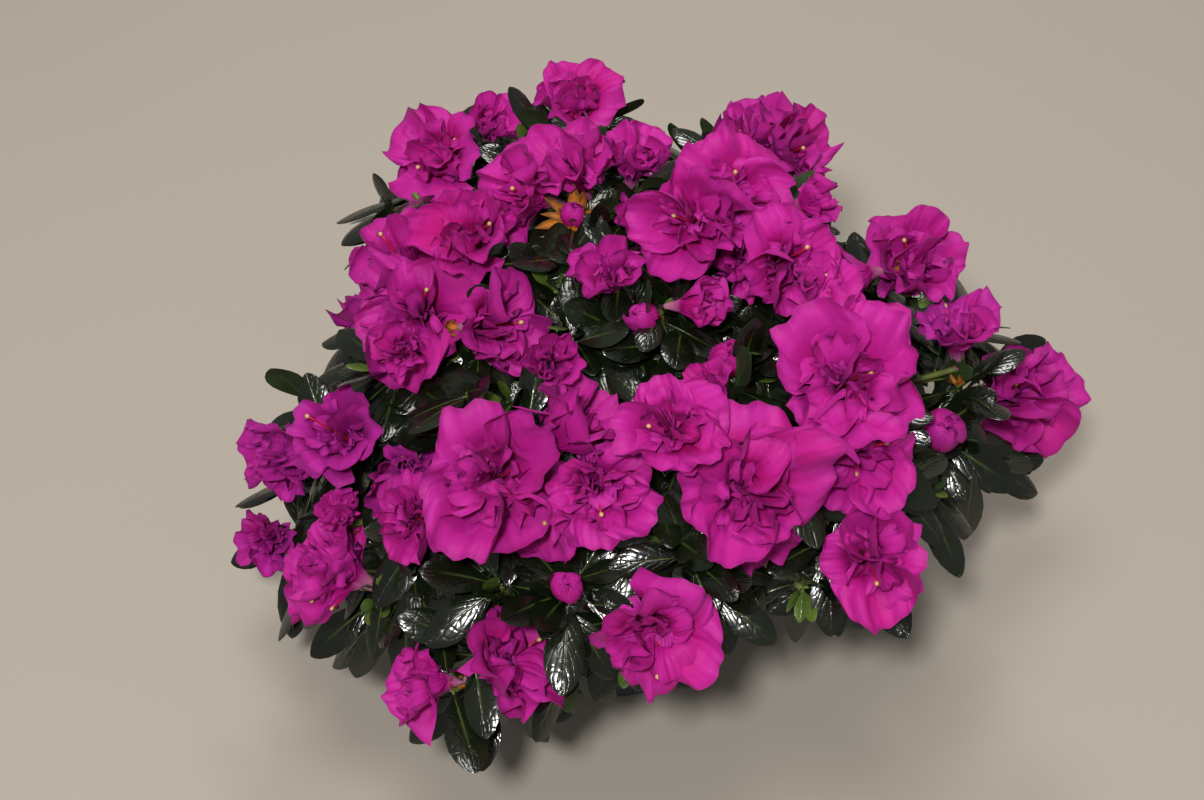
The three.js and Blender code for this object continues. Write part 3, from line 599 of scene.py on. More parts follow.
class Wired:
    """A shader socket that takes part in Python arithmetic by adding Math nodes."""

    def __init__(self, finish, socket):
        self.finish, self.socket = finish, socket

    def _math(self, operation, other=0, swapped=False):
        pair = (other, self) if swapped else (self, other)
        return self.finish.node("ShaderNodeMath", {"operation": operation}, dict(enumerate(pair)))

    __add__ = __radd__ = functools.partialmethod(_math, "ADD")
    __mul__ = __rmul__ = functools.partialmethod(_math, "MULTIPLY")
    __sub__ = functools.partialmethod(_math, "SUBTRACT")
    __rsub__ = functools.partialmethod(_math, "SUBTRACT", swapped=True)
    __pow__ = functools.partialmethod(_math, "POWER")
    __abs__ = functools.partialmethod(_math, "ABSOLUTE")
    sine = functools.partialmethod(_math, "SINE")


class Finish:
    """A material: constants go on the shader's own sockets, and what varies is fed by nodes."""

    def __init__(self, name, colour, **constants):
        self.material = bpy.data.materials.new(name)
        self.material.use_nodes = True
        self.material.diffuse_color = (*colour, 1)
        self.tree = self.material.node_tree
        self.sockets = self.tree.nodes["Principled BSDF"].inputs
        self.sockets["Base Color"].default_value = (*colour, 1)
        for key, value in constants.items():
            self.sockets[key.replace("_", " ")].default_value = value

    def node(self, kind, settings=None, sockets=None, output=0):
        """Any node: its settings first, then the values or links of its sockets."""
        made = self.tree.nodes.new(kind)
        for key, value in (settings or {}).items():
            setattr(made, key, value)
        for key, value in (sockets or {}).items():
            self.feed(made.inputs[key], value)
        return Wired(self, made.outputs[output])

    def feed(self, socket, value):
        """Links or sets a socket, or the shader's own one of that name."""
        socket = self.sockets[socket] if isinstance(socket, str) else socket
        if isinstance(value, Wired):
            self.tree.links.new(value.socket, socket)
        else:
            socket.default_value = (*value, 1) if isinstance(value, tuple) else value

    def place(self):
        return self.node("ShaderNodeTexCoord", output="Object")

    def pattern(self):
        """The two pattern coordinates of the piece's own UV map."""
        both = self.node("ShaderNodeUVMap", {"uv_map": "pattern"})
        split = self.node("ShaderNodeSeparateXYZ", None, {0: both})
        return split, Wired(self, split.socket.node.outputs[1])

    def noise(self, scale, detail=3, roughness=0.5):
        sockets = {"Vector": self.place(), "Scale": scale, "Detail": detail, "Roughness": roughness}
        return self.node("ShaderNodeTexNoise", None, sockets)

    def step(self, value, low, high):
        """0 below low, 1 above high, and a smooth rise between."""
        sockets = {"Value": value, "From Min": low, "From Max": high}
        return self.node("ShaderNodeMapRange", {"interpolation_type": "SMOOTHSTEP"}, sockets)

    def mixed(self, factor, first, second):
        return self.node("ShaderNodeMix", {"data_type": "RGBA"}, {0: factor, 6: first, 7: second}, output=2)

    def bump(self, height, depth, strength):
        """Relief of a depth in metres."""
        sockets = {"Height": height, "Distance": depth, "Strength": strength}
        self.feed("Normal", self.node("ShaderNodeBump", None, sockets))


def scaled(colour, factor):
    return tuple(min(1.0, c * factor) for c in colour)


def blended(first, second, share):
    return tuple(a + (b - a) * share for a, b in zip(first, second))


def tone(key):
    """One of the add-on's colours."""
    return tuple(getattr(bpy.context.scene.azalea, key + "_colour"))


def petal_finish(name, colour, is_back, speckled=False):
    """Satin petal: a blush at the tube, crimson clouds, a dusky rim, fine veins from tube to rim. The
    outer petals have crimson speckles low down on their middle."""
    finish = Finish(
        name, colour, Specular_IOR_Level=0.12, Sheen_Weight=0.03, Sheen_Roughness=0.35,
        Sheen_Tint=(0.5, 0.35, 1.0, 1), Subsurface_Weight=0.16, Subsurface_Scale=0.004,
        Subsurface_Radius=(1.0, 0.2, 0.45),
    )
    u, v = finish.pattern()
    patch = finish.noise(38, 2)
    # Painted light: the petal is darker towards the tube, which is painted shade, and turns a pale
    # purple-pink towards the rim, which is a painted highlight.
    outwards = finish.step(v + 0.5 * patch, 0.6, 1.25)
    base = finish.mixed(outwards, scaled(colour, 0.88), blended(colour, tone("highlight_lavender"), 0.45))
    flush = finish.step(finish.noise(26, 2), 0.5, 0.68) * (1 - 0.6 * finish.step(v, 0.5, 0.95))
    base = finish.mixed(0.6 * flush, base, tone("flush"))
    tube = 1 - finish.step(v + 0.12 * patch, 0.12, 0.46 if is_back else 0.56)
    base = finish.mixed(tube, base, tone("tube" if is_back else "throat"))
    base = finish.mixed(0.35 * finish.step(v, 0.93, 1.0), base, scaled(colour, 0.45))
    if speckled:
        zone = finish.step(v, 0.4, 0.46) * (1 - finish.step(v, 0.56, 0.66))
        zone = zone * (1 - finish.step(abs(u - 0.5), 0.1, 0.26))
        spots = finish.step(finish.noise(900, 1), 0.56, 0.62)
        base = finish.mixed(0.75 * (zone * spots), base, tone("style"))
    finish.feed("Base Color", base)
    finish.bump((u * 64 + 3 * patch).sine() * 0.25 + 2.6 * finish.noise(100, 4), 0.0006, 0.7)
    finish.feed("Roughness", 0.46 + 0.16 * finish.noise(90, 2))
    return finish.material


def leaf_finish(name, colour, is_back=False):
    """Leathery leaf: a pale midrib that fades to the tip, side veins pressed in, a waxy gloss on top."""
    finish = Finish(name, colour, Specular_IOR_Level=0.25 if is_back else 0.62)
    u, v = finish.pattern()
    aside = abs(u - 0.5) * 2
    rib = 1 - finish.step(aside, 0.02, 0.11)
    cloud = finish.noise(60, 3)
    base = finish.mixed(finish.step(cloud, 0.3, 0.7), scaled(colour, 0.7), scaled(colour, 1.35))
    finish.feed("Base Color", finish.mixed(rib * (0.6 - 0.75 * v), base, tone("rib")))
    fold = abs((math.pi * (5 * v - 2.4 * aside + 1.2 * cloud)).sine()) ** 0.5
    cells = {"Vector": finish.place(), "Scale": 190}
    net = finish.step(finish.node("ShaderNodeTexVoronoi", {"feature": "DISTANCE_TO_EDGE"}, cells), 0.0, 0.16)
    finish.bump(0.3 * fold * (1 - 0.5 * aside) - rib * 0.5 + 0.16 * net, 0.0005, 0.6)
    finish.feed("Roughness", 0.5 + 0.2 * cloud if is_back else 0.08 + 0.2 * finish.noise(160, 3))
    return finish.material


def scale_finish():
    """Dry bud scale: tan at its foot and brown in streaks towards its tip and rims."""
    colour = tone("scale")
    finish = Finish("bud_scale", colour, Specular_IOR_Level=0.4)
    u, v = finish.pattern()
    dusk = finish.step(0.6 * v + 0.7 * abs(u - 0.5) + 0.5 * finish.noise(300, 3), 0.5, 1.05)
    finish.feed("Base Color", finish.mixed(dusk, colour, scaled(colour, 0.3)))
    finish.feed("Roughness", 0.45 + 0.2 * v)
    finish.bump((u * 40).sine(), 0.0002, 0.6)
    return finish.material


def grained_finish(name, colour, tones, noise, rough, bump=None, edges=None, shine=0.5):
    """A colour that clouds between two tones by a noise. Rough is the least roughness, its gain and the
    noise that drives it. Bump is a depth, a strength and its noise. The clouds drive what has none."""
    finish = Finish(name, colour, Specular_IOR_Level=shine)
    clouds = finish.noise(*noise)
    share = finish.step(clouds, *edges) if edges else clouds
    finish.feed("Base Color", finish.mixed(share, *(scaled(colour, factor) for factor in tones)))
    least, gain, *own = rough
    finish.feed("Roughness", least + gain * (finish.noise(*own) if own else clouds))
    if bump:
        depth, strength, *own = bump
        finish.bump(finish.noise(*own) if own else clouds, depth, strength)
    return finish.material


def plain_finish(name, key, rough, spread=0.25, depth=0.0002):
    """A colour of the add-on that clouds a little, with a fine grain."""
    tones = (1 - spread, 1 + spread)
    return grained_finish(name, tone(key), tones, (120, 4), (rough - 0.1, 0.2), (depth, 0.6, 480, 3))


# Wood and twigs

# Rings along a limb and sides round it
TRUNK_GRID = (40, 28)
BOUGH_GRID = (30, 20)
TWIG_SIDES = 8
COLLAR = 0.35


def bark_relief(steps, sides, key, depth):
    """Furrows that run along a limb and wander round it, as a factor on its radius."""
    along = np.linspace(0, 1, steps)[:, None]
    turn = (np.arange(sides) * 2 * math.pi / sides)[None]
    factor = np.ones((steps, sides))
    for n in range(5):
        rounds, waves = 2 + n, between(3, 14, key, n, 31)
        phase, sway = between(0, 6.28, key, n, 32), between(0.5, 1.5, key, n, 33)
        factor += depth / (1 + 0.4 * n) * np.sin(rounds * turn + sway * np.sin(waves * along) + phase)
    return factor


def add_limb(sheaf, limb, steps, sides, key, depth, slots=0):
    """A limb with a collar where it leaves its parent, begun inside the parent."""
    shares = np.linspace(0, 1, steps)
    places = limb.curve.places(shares)
    radii = limb.radius_at(shares) * (1 + COLLAR * np.exp(-shares / 0.06))
    if np.linalg.norm(limb.origin - places[0]) > 1e-6:
        places = np.concatenate([limb.origin[None], places])
        radii = np.concatenate([radii[:1], radii])
    add_tube(sheaf, places, radii, sides, slots, bark_relief(len(places), sides, key, depth))


# Leafy twigs that fill the crown behind, and what counts as a low shoot in front
FILL_BEARINGS = np.arange(2, 188, 12)
FILL_RISES = (10, 24, 33)
FILL_REACHES = (128, 142, 138)
FILL_FORK = 0.8
AIRY_RISE = 0.42
AIRY_DEPTH = 0.25
FINER_LENGTH = (16, 26)


def is_airy(shoot):
    """Whether a shoot is one of the low ones in front, which stand apart."""
    return shoot.way[2] < AIRY_RISE and shoot.way[1] < AIRY_DEPTH


@functools.lru_cache(maxsize=1)
def fill_twigs():
    """Leafy twigs that fill the crown behind and at the sides. Each grows from the bough that points most
    nearly its way, and bends out to a bearing and rise of its own, shorter at the sides than behind."""
    boughs = [limb.curve for name, limb in grown().limbs.items() if name != "trunk"]
    twigs = []
    for n, bearing in enumerate(FILL_BEARINGS):
        key = (n, 200)
        way = aim(bearing + between(-5, 5, *key, 1), FILL_RISES[n % 3] + between(-3, 3, *key, 2))
        end = HEART + way * FILL_REACHES[n % 3] * (0.84 + 0.16 * way[1])
        bough = max(boughs, key=lambda curve: np.dot(unit(curve.places(1)[0] - HEART), way))
        curve = twig_curve(bough, FILL_FORK, end, way)
        twigs.append(SimpleNamespace(curve=curve, node=end, facing=unit(way + Z * LIFT), key=key))
    return twigs


@functools.lru_cache(maxsize=1)
def finer_twigs():
    """Finer twigs: each shoot's twig throws one short side twig, and each leafy one two, where no bloom
    is in the way. The low shoots in front have fewer."""
    twigs = []
    for shoot in grown().shoots:
        airy = is_airy(shoot)
        count = 0 if airy and shoot.way[2] < 0.2 else 1 if airy or shoot.kind != "L" else 2
        for n in range(count):
            key = (*shoot.key, 40 + n)
            start, tangent = shoot.twig.curve.at(between(0.5, 0.78, *key, 1))
            side = round_about(tangent, between(0, 6.28, *key, 2))
            way = unit(side + 0.9 * tangent + 0.3 * Z)
            end = start + way * between(*FINER_LENGTH, *key, 3)
            facing = unit(way + 0.5 * unit(start - HEART))
            curve = bend(start, unit(side + 0.6 * tangent), end, facing)
            if not in_the_way(curve.places(np.linspace(0.4, 1, 5))).any():
                twigs.append(SimpleNamespace(curve=curve, node=end, facing=facing, key=key))
    return twigs


# Leaves

LEAF_ROWS = np.array([0, 0.1, 0.17, 0.28, 0.42, 0.57, 0.72, 0.84, 0.93, 0.98, 1.0])
LEAF_COLUMNS = np.linspace(-1, 1, 5)
PETIOLE_SHARE = 0.12
TURN_UP = 0.9
LEAF_SHADES = (("dark", 0.8), ("green", 1), ("light", 1.3))
LEAF_TESTS = np.array([0.3, 0.5, 0.7, 0.85, 1.0])
STALK_HALF_WIDTH = 0.55
TIP_HALF_WIDTH = 0.3
SCALE_THICKNESS = 0.4
# Opening in degrees and length of the other kinds of leaf
YOUNG_LEAF = ((12, 34), (13, 20))
STEM_LEAF = ((55, 85), (26, 38))
FINER_LEAF = ((50, 82), (26, 40))
FILL_LEAF = ((55, 88), (30, 42))
# Where leaves stand along a twig, and along that of an airy shoot
STEM_SHARES = (0.5, 0.62, 0.74, 0.86)
AIRY_SHARES = (0.5, 0.66)
# What stays clear of leaves: above a bloom's face, in its funnel, and before it as seen
AIR_ABOVE = 22
FUNNEL_FOOT = 4
FUNNEL_SHARE = 0.92
VIEW_DEPTH = 80
VIEW_SHARE = 0.72


def leaf_wishes():
    """Every leaf the rule asks for, before it is fitted: where it grows, which way and how long."""
    wishes = []

    def wish(node, facing, key, n, turn, opening, length, shade, droop=LEAF_DROOP):
        roll = between(-LEAF_ROLL, LEAF_ROLL, *key, n, 9)
        wishes.append((node, facing, round_about(facing, turn), opening, length, shade, droop, roll))

    def shade_of(*keys):
        return int(3 * chance(*keys))

    def sized(spans, draw, *key):
        """An opening and a length from their spans, by two draws."""
        opening, length = (between(*span, *key, draw + n) for n, span in enumerate(spans))
        return math.radians(opening), length

    for shoot in grown().shoots:
        key, facing, leafy, airy = shoot.key, shoot.facing, shoot.kind == "L", is_airy(shoot)
        start = between(0, 360, *key, 3)
        droop = LEAF_DROOP + 0.3 * max(0.0, 0.6 - facing[2])
        reach = (shoot.size if leafy else 1) * (0.84 if shoot.way[2] > 0.72 else 1)
        count = max(1, shoot.leaves)
        for n in range(shoot.leaves + (0 if airy else 5 if leafy else 4)):
            ring, order = divmod(n, count)
            turn = start + 360 * (order + 0.5 * ring) / count + between(-LEAF_STRAY, LEAF_STRAY, *key, n, 4)
            opening = math.radians(between(*LEAF_OPENING, *key, n, 5) + 10 * ring)
            length = between(*LEAF_LENGTH, *key, n, 6) * (1 - 0.12 * ring) * reach
            node = shoot.node - facing * LEAF_STEP * (n + 1)
            wish(node, facing, key, n, math.radians(turn), opening, length, shade_of(*key, n, 10), droop)
        for n in range(3 if leafy else 0):
            turn = math.radians(start + 120 * n)
            wish(shoot.node, facing, key, n, turn, *sized(YOUNG_LEAF, 51, *key, n), YOUNG, 0.05)
        for n, share in enumerate(AIRY_SHARES if airy else STEM_SHARES):
            turn = math.radians(start + 137.5 * n)
            size = sized(STEM_LEAF, 53, *key, n)
            wish(*shoot.twig.curve.at(share), key, n + 60, turn, *size, shade_of(*key, n, 55))
        for n in range(0 if leafy else 5):
            length = between(8, 10, *key, n, 56)
            wish(shoot.calyx - facing, facing, key, n, math.radians(start + 72 * n), 0.38, length, YOUNG, 0)
    for twig in finer_twigs():
        key, start = twig.key, between(0, 6.28, *twig.key, 4)
        for n in range(5):
            node = twig.node - twig.facing * LEAF_STEP * n
            turn, size = start + 2 * math.pi * n / 5, sized(FINER_LEAF, 5, *key, n)
            wish(node, twig.facing, key, n, turn, *size, shade_of(*key, n, 7))
    for twig in fill_twigs():
        key, start = twig.key, between(0, 6.28, *twig.key, 4)
        for n in range(14):
            place, facing = twig.curve.at(1 if n < 7 else 0.4 + 0.075 * (n - 7))
            facing = twig.facing if n < 7 else facing
            turn = start + (2 * math.pi / 7 if n < 7 else 2.4) * n
            node, size = place - facing * LEAF_STEP * n, sized(FILL_LEAF, 5, *key, n)
            wish(node, facing, key, n, turn, *size, shade_of(*key, n, 7))
    return wishes


def midrib(node, along, normal, length, droop, shares):
    """Points along midribs: straight out, bent down by their weight and a little back on themselves."""
    out = shares[None, :, None] * length[:, None, None]
    sag = (shares**2)[None, :, None] * length[:, None, None]
    straight = node[:, None] + along[:, None] * out
    return straight - Z * sag * droop[:, None, None] - normal[:, None] * sag * 0.06


def along_and_off(points, origin, axis):
    """How far points lie along an axis, and how far from it."""
    along = (points - origin) @ axis
    return along, np.linalg.norm(points - origin - along[..., None] * axis, axis=-1)


def in_the_way(points):
    """Whether points lie in the pot, under the floor, in the funnel of a bloom and the air above it, or
    close before its face as seen in the photograph."""
    x, y, z = np.moveaxis(points, -1, 0)
    blocked = ((np.hypot(x, y) < wall_at(z) + 2) & (z < POT_HEIGHT + 2)) | (z < 2)
    for bloom in grown().blooms:
        height, away = along_and_off(points, bloom.face, bloom.facing)
        deep = 0.5 * bloom.tube
        widening = bloom.radius * FUNNEL_SHARE - FUNNEL_FOOT
        room = FUNNEL_FOOT + widening * np.clip((height + deep) / deep, 0, 1)
        blocked |= (height > -deep) & (height < AIR_ABOVE) & (away < room)
        if bloom.facing @ TOWARDS > 0.3:
            before, aside = along_and_off(points, bloom.face, TOWARDS)
            blocked |= (before > 0) & (before < VIEW_DEPTH) & (aside < VIEW_SHARE * bloom.radius)
    return blocked


# The bud whose scales are long and curled, and stand round it as a star
STAR = (22, 1)


def add_scales(sheaf):
    """The dry scales at the foot of each flower stalk: pointed ovals, bowed outwards."""
    rows, columns = np.linspace(0, 1, 5), np.linspace(-1, 1, 3)
    faces = []
    for bloom in grown().blooms:
        is_star = bloom.key == STAR
        foot = bloom.calyx + bloom.facing * 2 if is_star else bloom.node
        for n in range(13 if is_star else 5):
            draw = drawer(*bloom.key, n)
            turn = (2.4 if is_star else 1.26) * n + draw(57, -0.3, 0.3)
            lean = draw(59, 0.3, 0.9) + draw(67, -0.1, 0.6) * is_star
            side = round_about(bloom.facing, turn)
            way = bloom.facing * math.cos(lean) + side * math.sin(lean)
            length = draw(58, 6, 9) * (draw(68, 1.5, 2.5) if is_star else 1)
            curl = draw(69, -0.7, 0.6) * length * is_star
            middle = foot + way * (rows * length)[:, None] + side * (0.9 * np.sin(math.pi * rows))[:, None]
            middle += (side * math.cos(lean) - bloom.facing * math.sin(lean)) * (curl * rows**2)[:, None]
            half = (0.17 if is_star else 0.2) * length * np.sin(math.pi * np.clip(0.12 + 0.85 * rows, 0, 1))
            faces.append(middle[:, None] + unit(np.cross(way, side)) * (half[:, None] * columns)[..., None])
    patterns = np.stack(np.meshgrid((columns + 1) / 2, rows), axis=-1)
    add_blades(sheaf, np.array(faces), patterns, SCALE_THICKNESS, [0] * 4, [0] * 4)


def add_leaves(sheaves, thickness):
    """Fits each leaf: it is closed up until nothing is in its way, or left out. Then its blade, turned up
    to the light: half width is the sine of a power of the share along, folded up along the midrib and
    rolled at the edge."""
    columns = list(zip(*leaf_wishes()))
    node, facing, sideways = map(np.array, columns[:3])
    opening, length, shade, droop, roll = (np.array(column, float) for column in columns[3:])
    along = np.zeros_like(node)
    fitted = np.zeros(len(node), bool)
    for closing in LEAF_CLOSINGS:
        angle = (opening * closing)[:, None]
        trial = sideways * np.sin(angle) + facing * np.cos(angle)
        side = unit(np.cross(facing, trial))
        ribs = midrib(node, trial, np.cross(trial, side), length, droop, LEAF_TESTS)
        fits = ~in_the_way(ribs).any(axis=1) & ~fitted
        along[fits] = trial[fits]
        fitted |= fits
    kept = (each[fitted] for each in (node, facing, along, length, shade, droop, roll))
    node, facing, along, length, shade, droop, roll = kept
    side = unit(unit(np.cross(facing, along)) + TURN_UP * np.cross(Z, along))
    side = side * np.cos(roll)[:, None] + np.cross(along, side) * np.sin(roll)[:, None]
    normal = np.cross(along, side)
    ribs = midrib(node, along, normal, length, droop, LEAF_ROWS)
    blade = np.clip((LEAF_ROWS - PETIOLE_SHARE) / (1 - PETIOLE_SHARE), 0, 1)
    outline = np.sin(math.pi * blade**1.28) ** 0.62
    half = np.maximum(0.5 * LEAF_WIDTH_SHARE * length[:, None] * outline, STALK_HALF_WIDTH)[..., None, None]
    half[:, -1] = TIP_HALF_WIDTH
    u = LEAF_COLUMNS[None, None, :, None]
    rise = 0.3 * np.abs(u) - 0.42 * u**2
    face = ribs[:, :, None] + side[:, None, None] * half * u + normal[:, None, None] * half * rise
    patterns = np.stack(np.meshgrid((LEAF_COLUMNS + 1) / 2, blade), axis=-1)
    rest = len(LEAF_ROWS) - 2
    for number, sheaf in enumerate(sheaves):
        add_blades(sheaf, face[shade == number], patterns, thickness, [2] + [0] * rest, [2] + [1] * rest)


# Blossom

# Petal colours dealt out by spray. The third is a darker copy of the first, painted shade for the petals at
# the shaded edge.
SHADES = ("bright", "deep", "violet")
LAYERS = ("outer", "second", "heart")
# Points across a petal, rows of its tube and rows of its blade, by layer
PETAL_GRIDS = ((21, 2, 11), (15, 2, 9), (9, 2, 7))
TUBE_SHARE = 0.55
OUTER_START = math.radians(22)
OPENINGS = (1, 0.92, 0.84, 0.76, 0.68)
OVERLAP = 14
THROAT = 4.6
# Blooms with longer petals than the rule's
FULLER = {(18, 0): 1.22, (27, 0): 1.2, (12, 0): 1.13, (12, 1): 1.15, (5, 0): 1.1, (1, 0): 1.08}


def walls_of(bloom):
    """Planes through the heart between this bloom and each other, dividing the angle by their room."""
    walls = []
    for other in grown().blooms:
        if other is not bloom:
            share = bloom.room / (bloom.room + other.room)
            middle = unit(bloom.way + (other.way - bloom.way) * share)
            walls.append(unit(bloom.way - middle * np.dot(bloom.way, middle)))
    return np.array(walls)


def arc(start, end, share):
    """How far out and up a petal's middle line has gone, per unit length, as it turns from one heading
    to another: the integrals of the sine and the cosine of the heading."""
    swing = end - start
    swing = np.where(np.abs(swing) < 1e-3, 1e-3, swing)
    heading = start + swing * share
    return (np.cos(start) - np.cos(heading)) / swing, (np.sin(heading) - np.sin(start)) / swing


def petal_places(petals, across_count, tube_rows, blade_rows):
    """Places of petals as [petal, along, across, 3], in the frame of each one's own axis. The middle
    line climbs the tube and then turns outwards. The width is wrapped about the axis as an arc, and the
    outline is rounded by shortening the line towards the sides. Waves along the normal ruffle it."""
    columns = {key: np.array([petal[key] for petal in petals], float) for key in petals[0]}
    p = SimpleNamespace(**{key: column[:, None, None] for key, column in columns.items()})
    u = np.linspace(-1, 1, across_count)[None, None, :]
    tube = np.linspace(0, 1, tube_rows)
    blade = np.linspace(0, 1, blade_rows + 1)[1:]
    climb = np.concatenate([tube, np.ones(blade_rows)])[None, :, None]
    b = np.concatenate([np.zeros(tube_rows), blade])[None, :, None]
    crimp = 1 + 0.025 * np.sin(5 * u + p.phase) + 0.022 * np.sin(14 * u + 2 * p.phase)
    share = b * (1 - p.round * np.abs(u) ** 2.5) * crimp
    out, up = arc(p.low, p.high, share)
    radius = np.maximum(p.base + (p.throat - p.base) * climb**1.4 + p.length * out, 0.4)
    swell = np.sin(math.pi * np.clip(0.1 + 0.58 * b**0.9, 0, 1)) ** 0.8
    limit = p.wrap + (p.widest - p.wrap) * np.clip(2.2 * b, 0, 1)
    half = np.where(b > 0, np.minimum(p.width * swell / radius, limit), p.wrap)
    heading = p.low + (p.high - p.low) * share
    theta = p.turn + u * half + p.twist * b

    def waves(size, power, rate, shift):
        return size * p.ruffle * b**power * np.sin(math.pi * rate * p.waves * u + shift * p.phase)

    pleat = 0.09 * p.ruffle * b**0.7 * np.sin(5.3 * math.pi * u * (1 - 0.2 * b) + 3 * p.phase)
    crease = -0.35 * p.ruffle * np.exp(-((u / 0.13) ** 2)) * np.sin(math.pi * b)
    cup = p.cup * u**2 * b * p.width
    roll = 0.7 * p.ruffle * b**2 * np.sin(2.4 * math.pi * b + 2 * p.phase)
    spiral = p.spiral * u * np.minimum(1, 3 * b)
    lopped = np.clip(np.sign(p.lop) * u - 0.25 * np.abs(p.lop), 0, 1) ** 1.6
    fold = p.fold * p.width * b**0.8 * lopped
    ruffles = waves(1.1, 1.4, 1, 1) + waves(0.75, 2.5, 2.7, 1.7) + waves(0.4, 4, 4.3, 2.6)
    normal = ruffles + pleat + crease + cup + roll + spiral + fold
    radius = np.maximum(radius - np.cos(heading) * normal, 0.3)[..., None]
    height = (p.tube * climb + p.length * up + np.sin(heading) * normal)[..., None]
    theta = theta[..., None]
    places = p.origin + p.axis * height + p.first * (radius * np.cos(theta))
    places = places + np.cross(p.axis, p.first) * (radius * np.sin(theta))
    v = np.concatenate([tube * 0.3, 0.3 + 0.7 * blade])
    return places, np.stack(np.meshgrid(np.linspace(0, 1, across_count), v), axis=-1)


def petal(bloom, draw, **own):
    """A petal's numbers, with the usual ones filled in."""
    usual = {
        "origin": bloom.calyx, "axis": bloom.facing, "first": square_to(bloom.facing)[0],
        "base": 1.6 * bloom.size, "throat": THROAT * bloom.size, "tube": TUBE_SHARE * bloom.tube,
        "low": OUTER_START, "round": 0.24, "wrap": 0.7, "widest": 1.2, "fold": 0, "lop": 1,
        "waves": draw(71, 0.8, 1.5), "phase": draw(72, 0, 6.28), "cup": draw(73, -0.14, 0.1),
    }
    return {**usual, **own}


def fitted_opening(bloom, walls, numbers):
    """The widest opening at which a petal's rim keeps to the bloom's side of its walls."""
    low, high, length = (numbers[key] for key in ("low", "high", "length"))
    sides = [round_about(bloom.facing, numbers["turn"] + aside) for aside in (-0.45, 0, 0.45)]
    for opening in OPENINGS:
        out, up = arc(low, low + (high - low) * opening, 0.95)
        middle = bloom.calyx + bloom.facing * (numbers["tube"] + length * up)
        points = [middle + side * (numbers["throat"] + length * out) for side in sides]
        if min(((point - HEART) @ walls.T).min() for point in points) >= -OVERLAP:
            return opening
    return OPENINGS[-1]


def bud_petals(bloom, start, hand):
    """The petals of a bud, furled round each other."""
    size, draws = bloom.size, [drawer(*bloom.key, n) for n in range(8)]
    return [
        petal(
            bloom, draw, turn=start + 2.4 * n, length=(draw(22, 16, 18) - 0.6 * n) * size, width=10 * size,
            base=1.4 * size, throat=(7 - 0.75 * n) * size, tube=5 * size, low=0.45, high=-1.35 + 0.1 * n,
            wrap=0.9, widest=2.2, ruffle=0.9 * size, spiral=0.9 * hand, twist=0.5 * hand,
        )
        for n, draw in enumerate(draws)
    ]


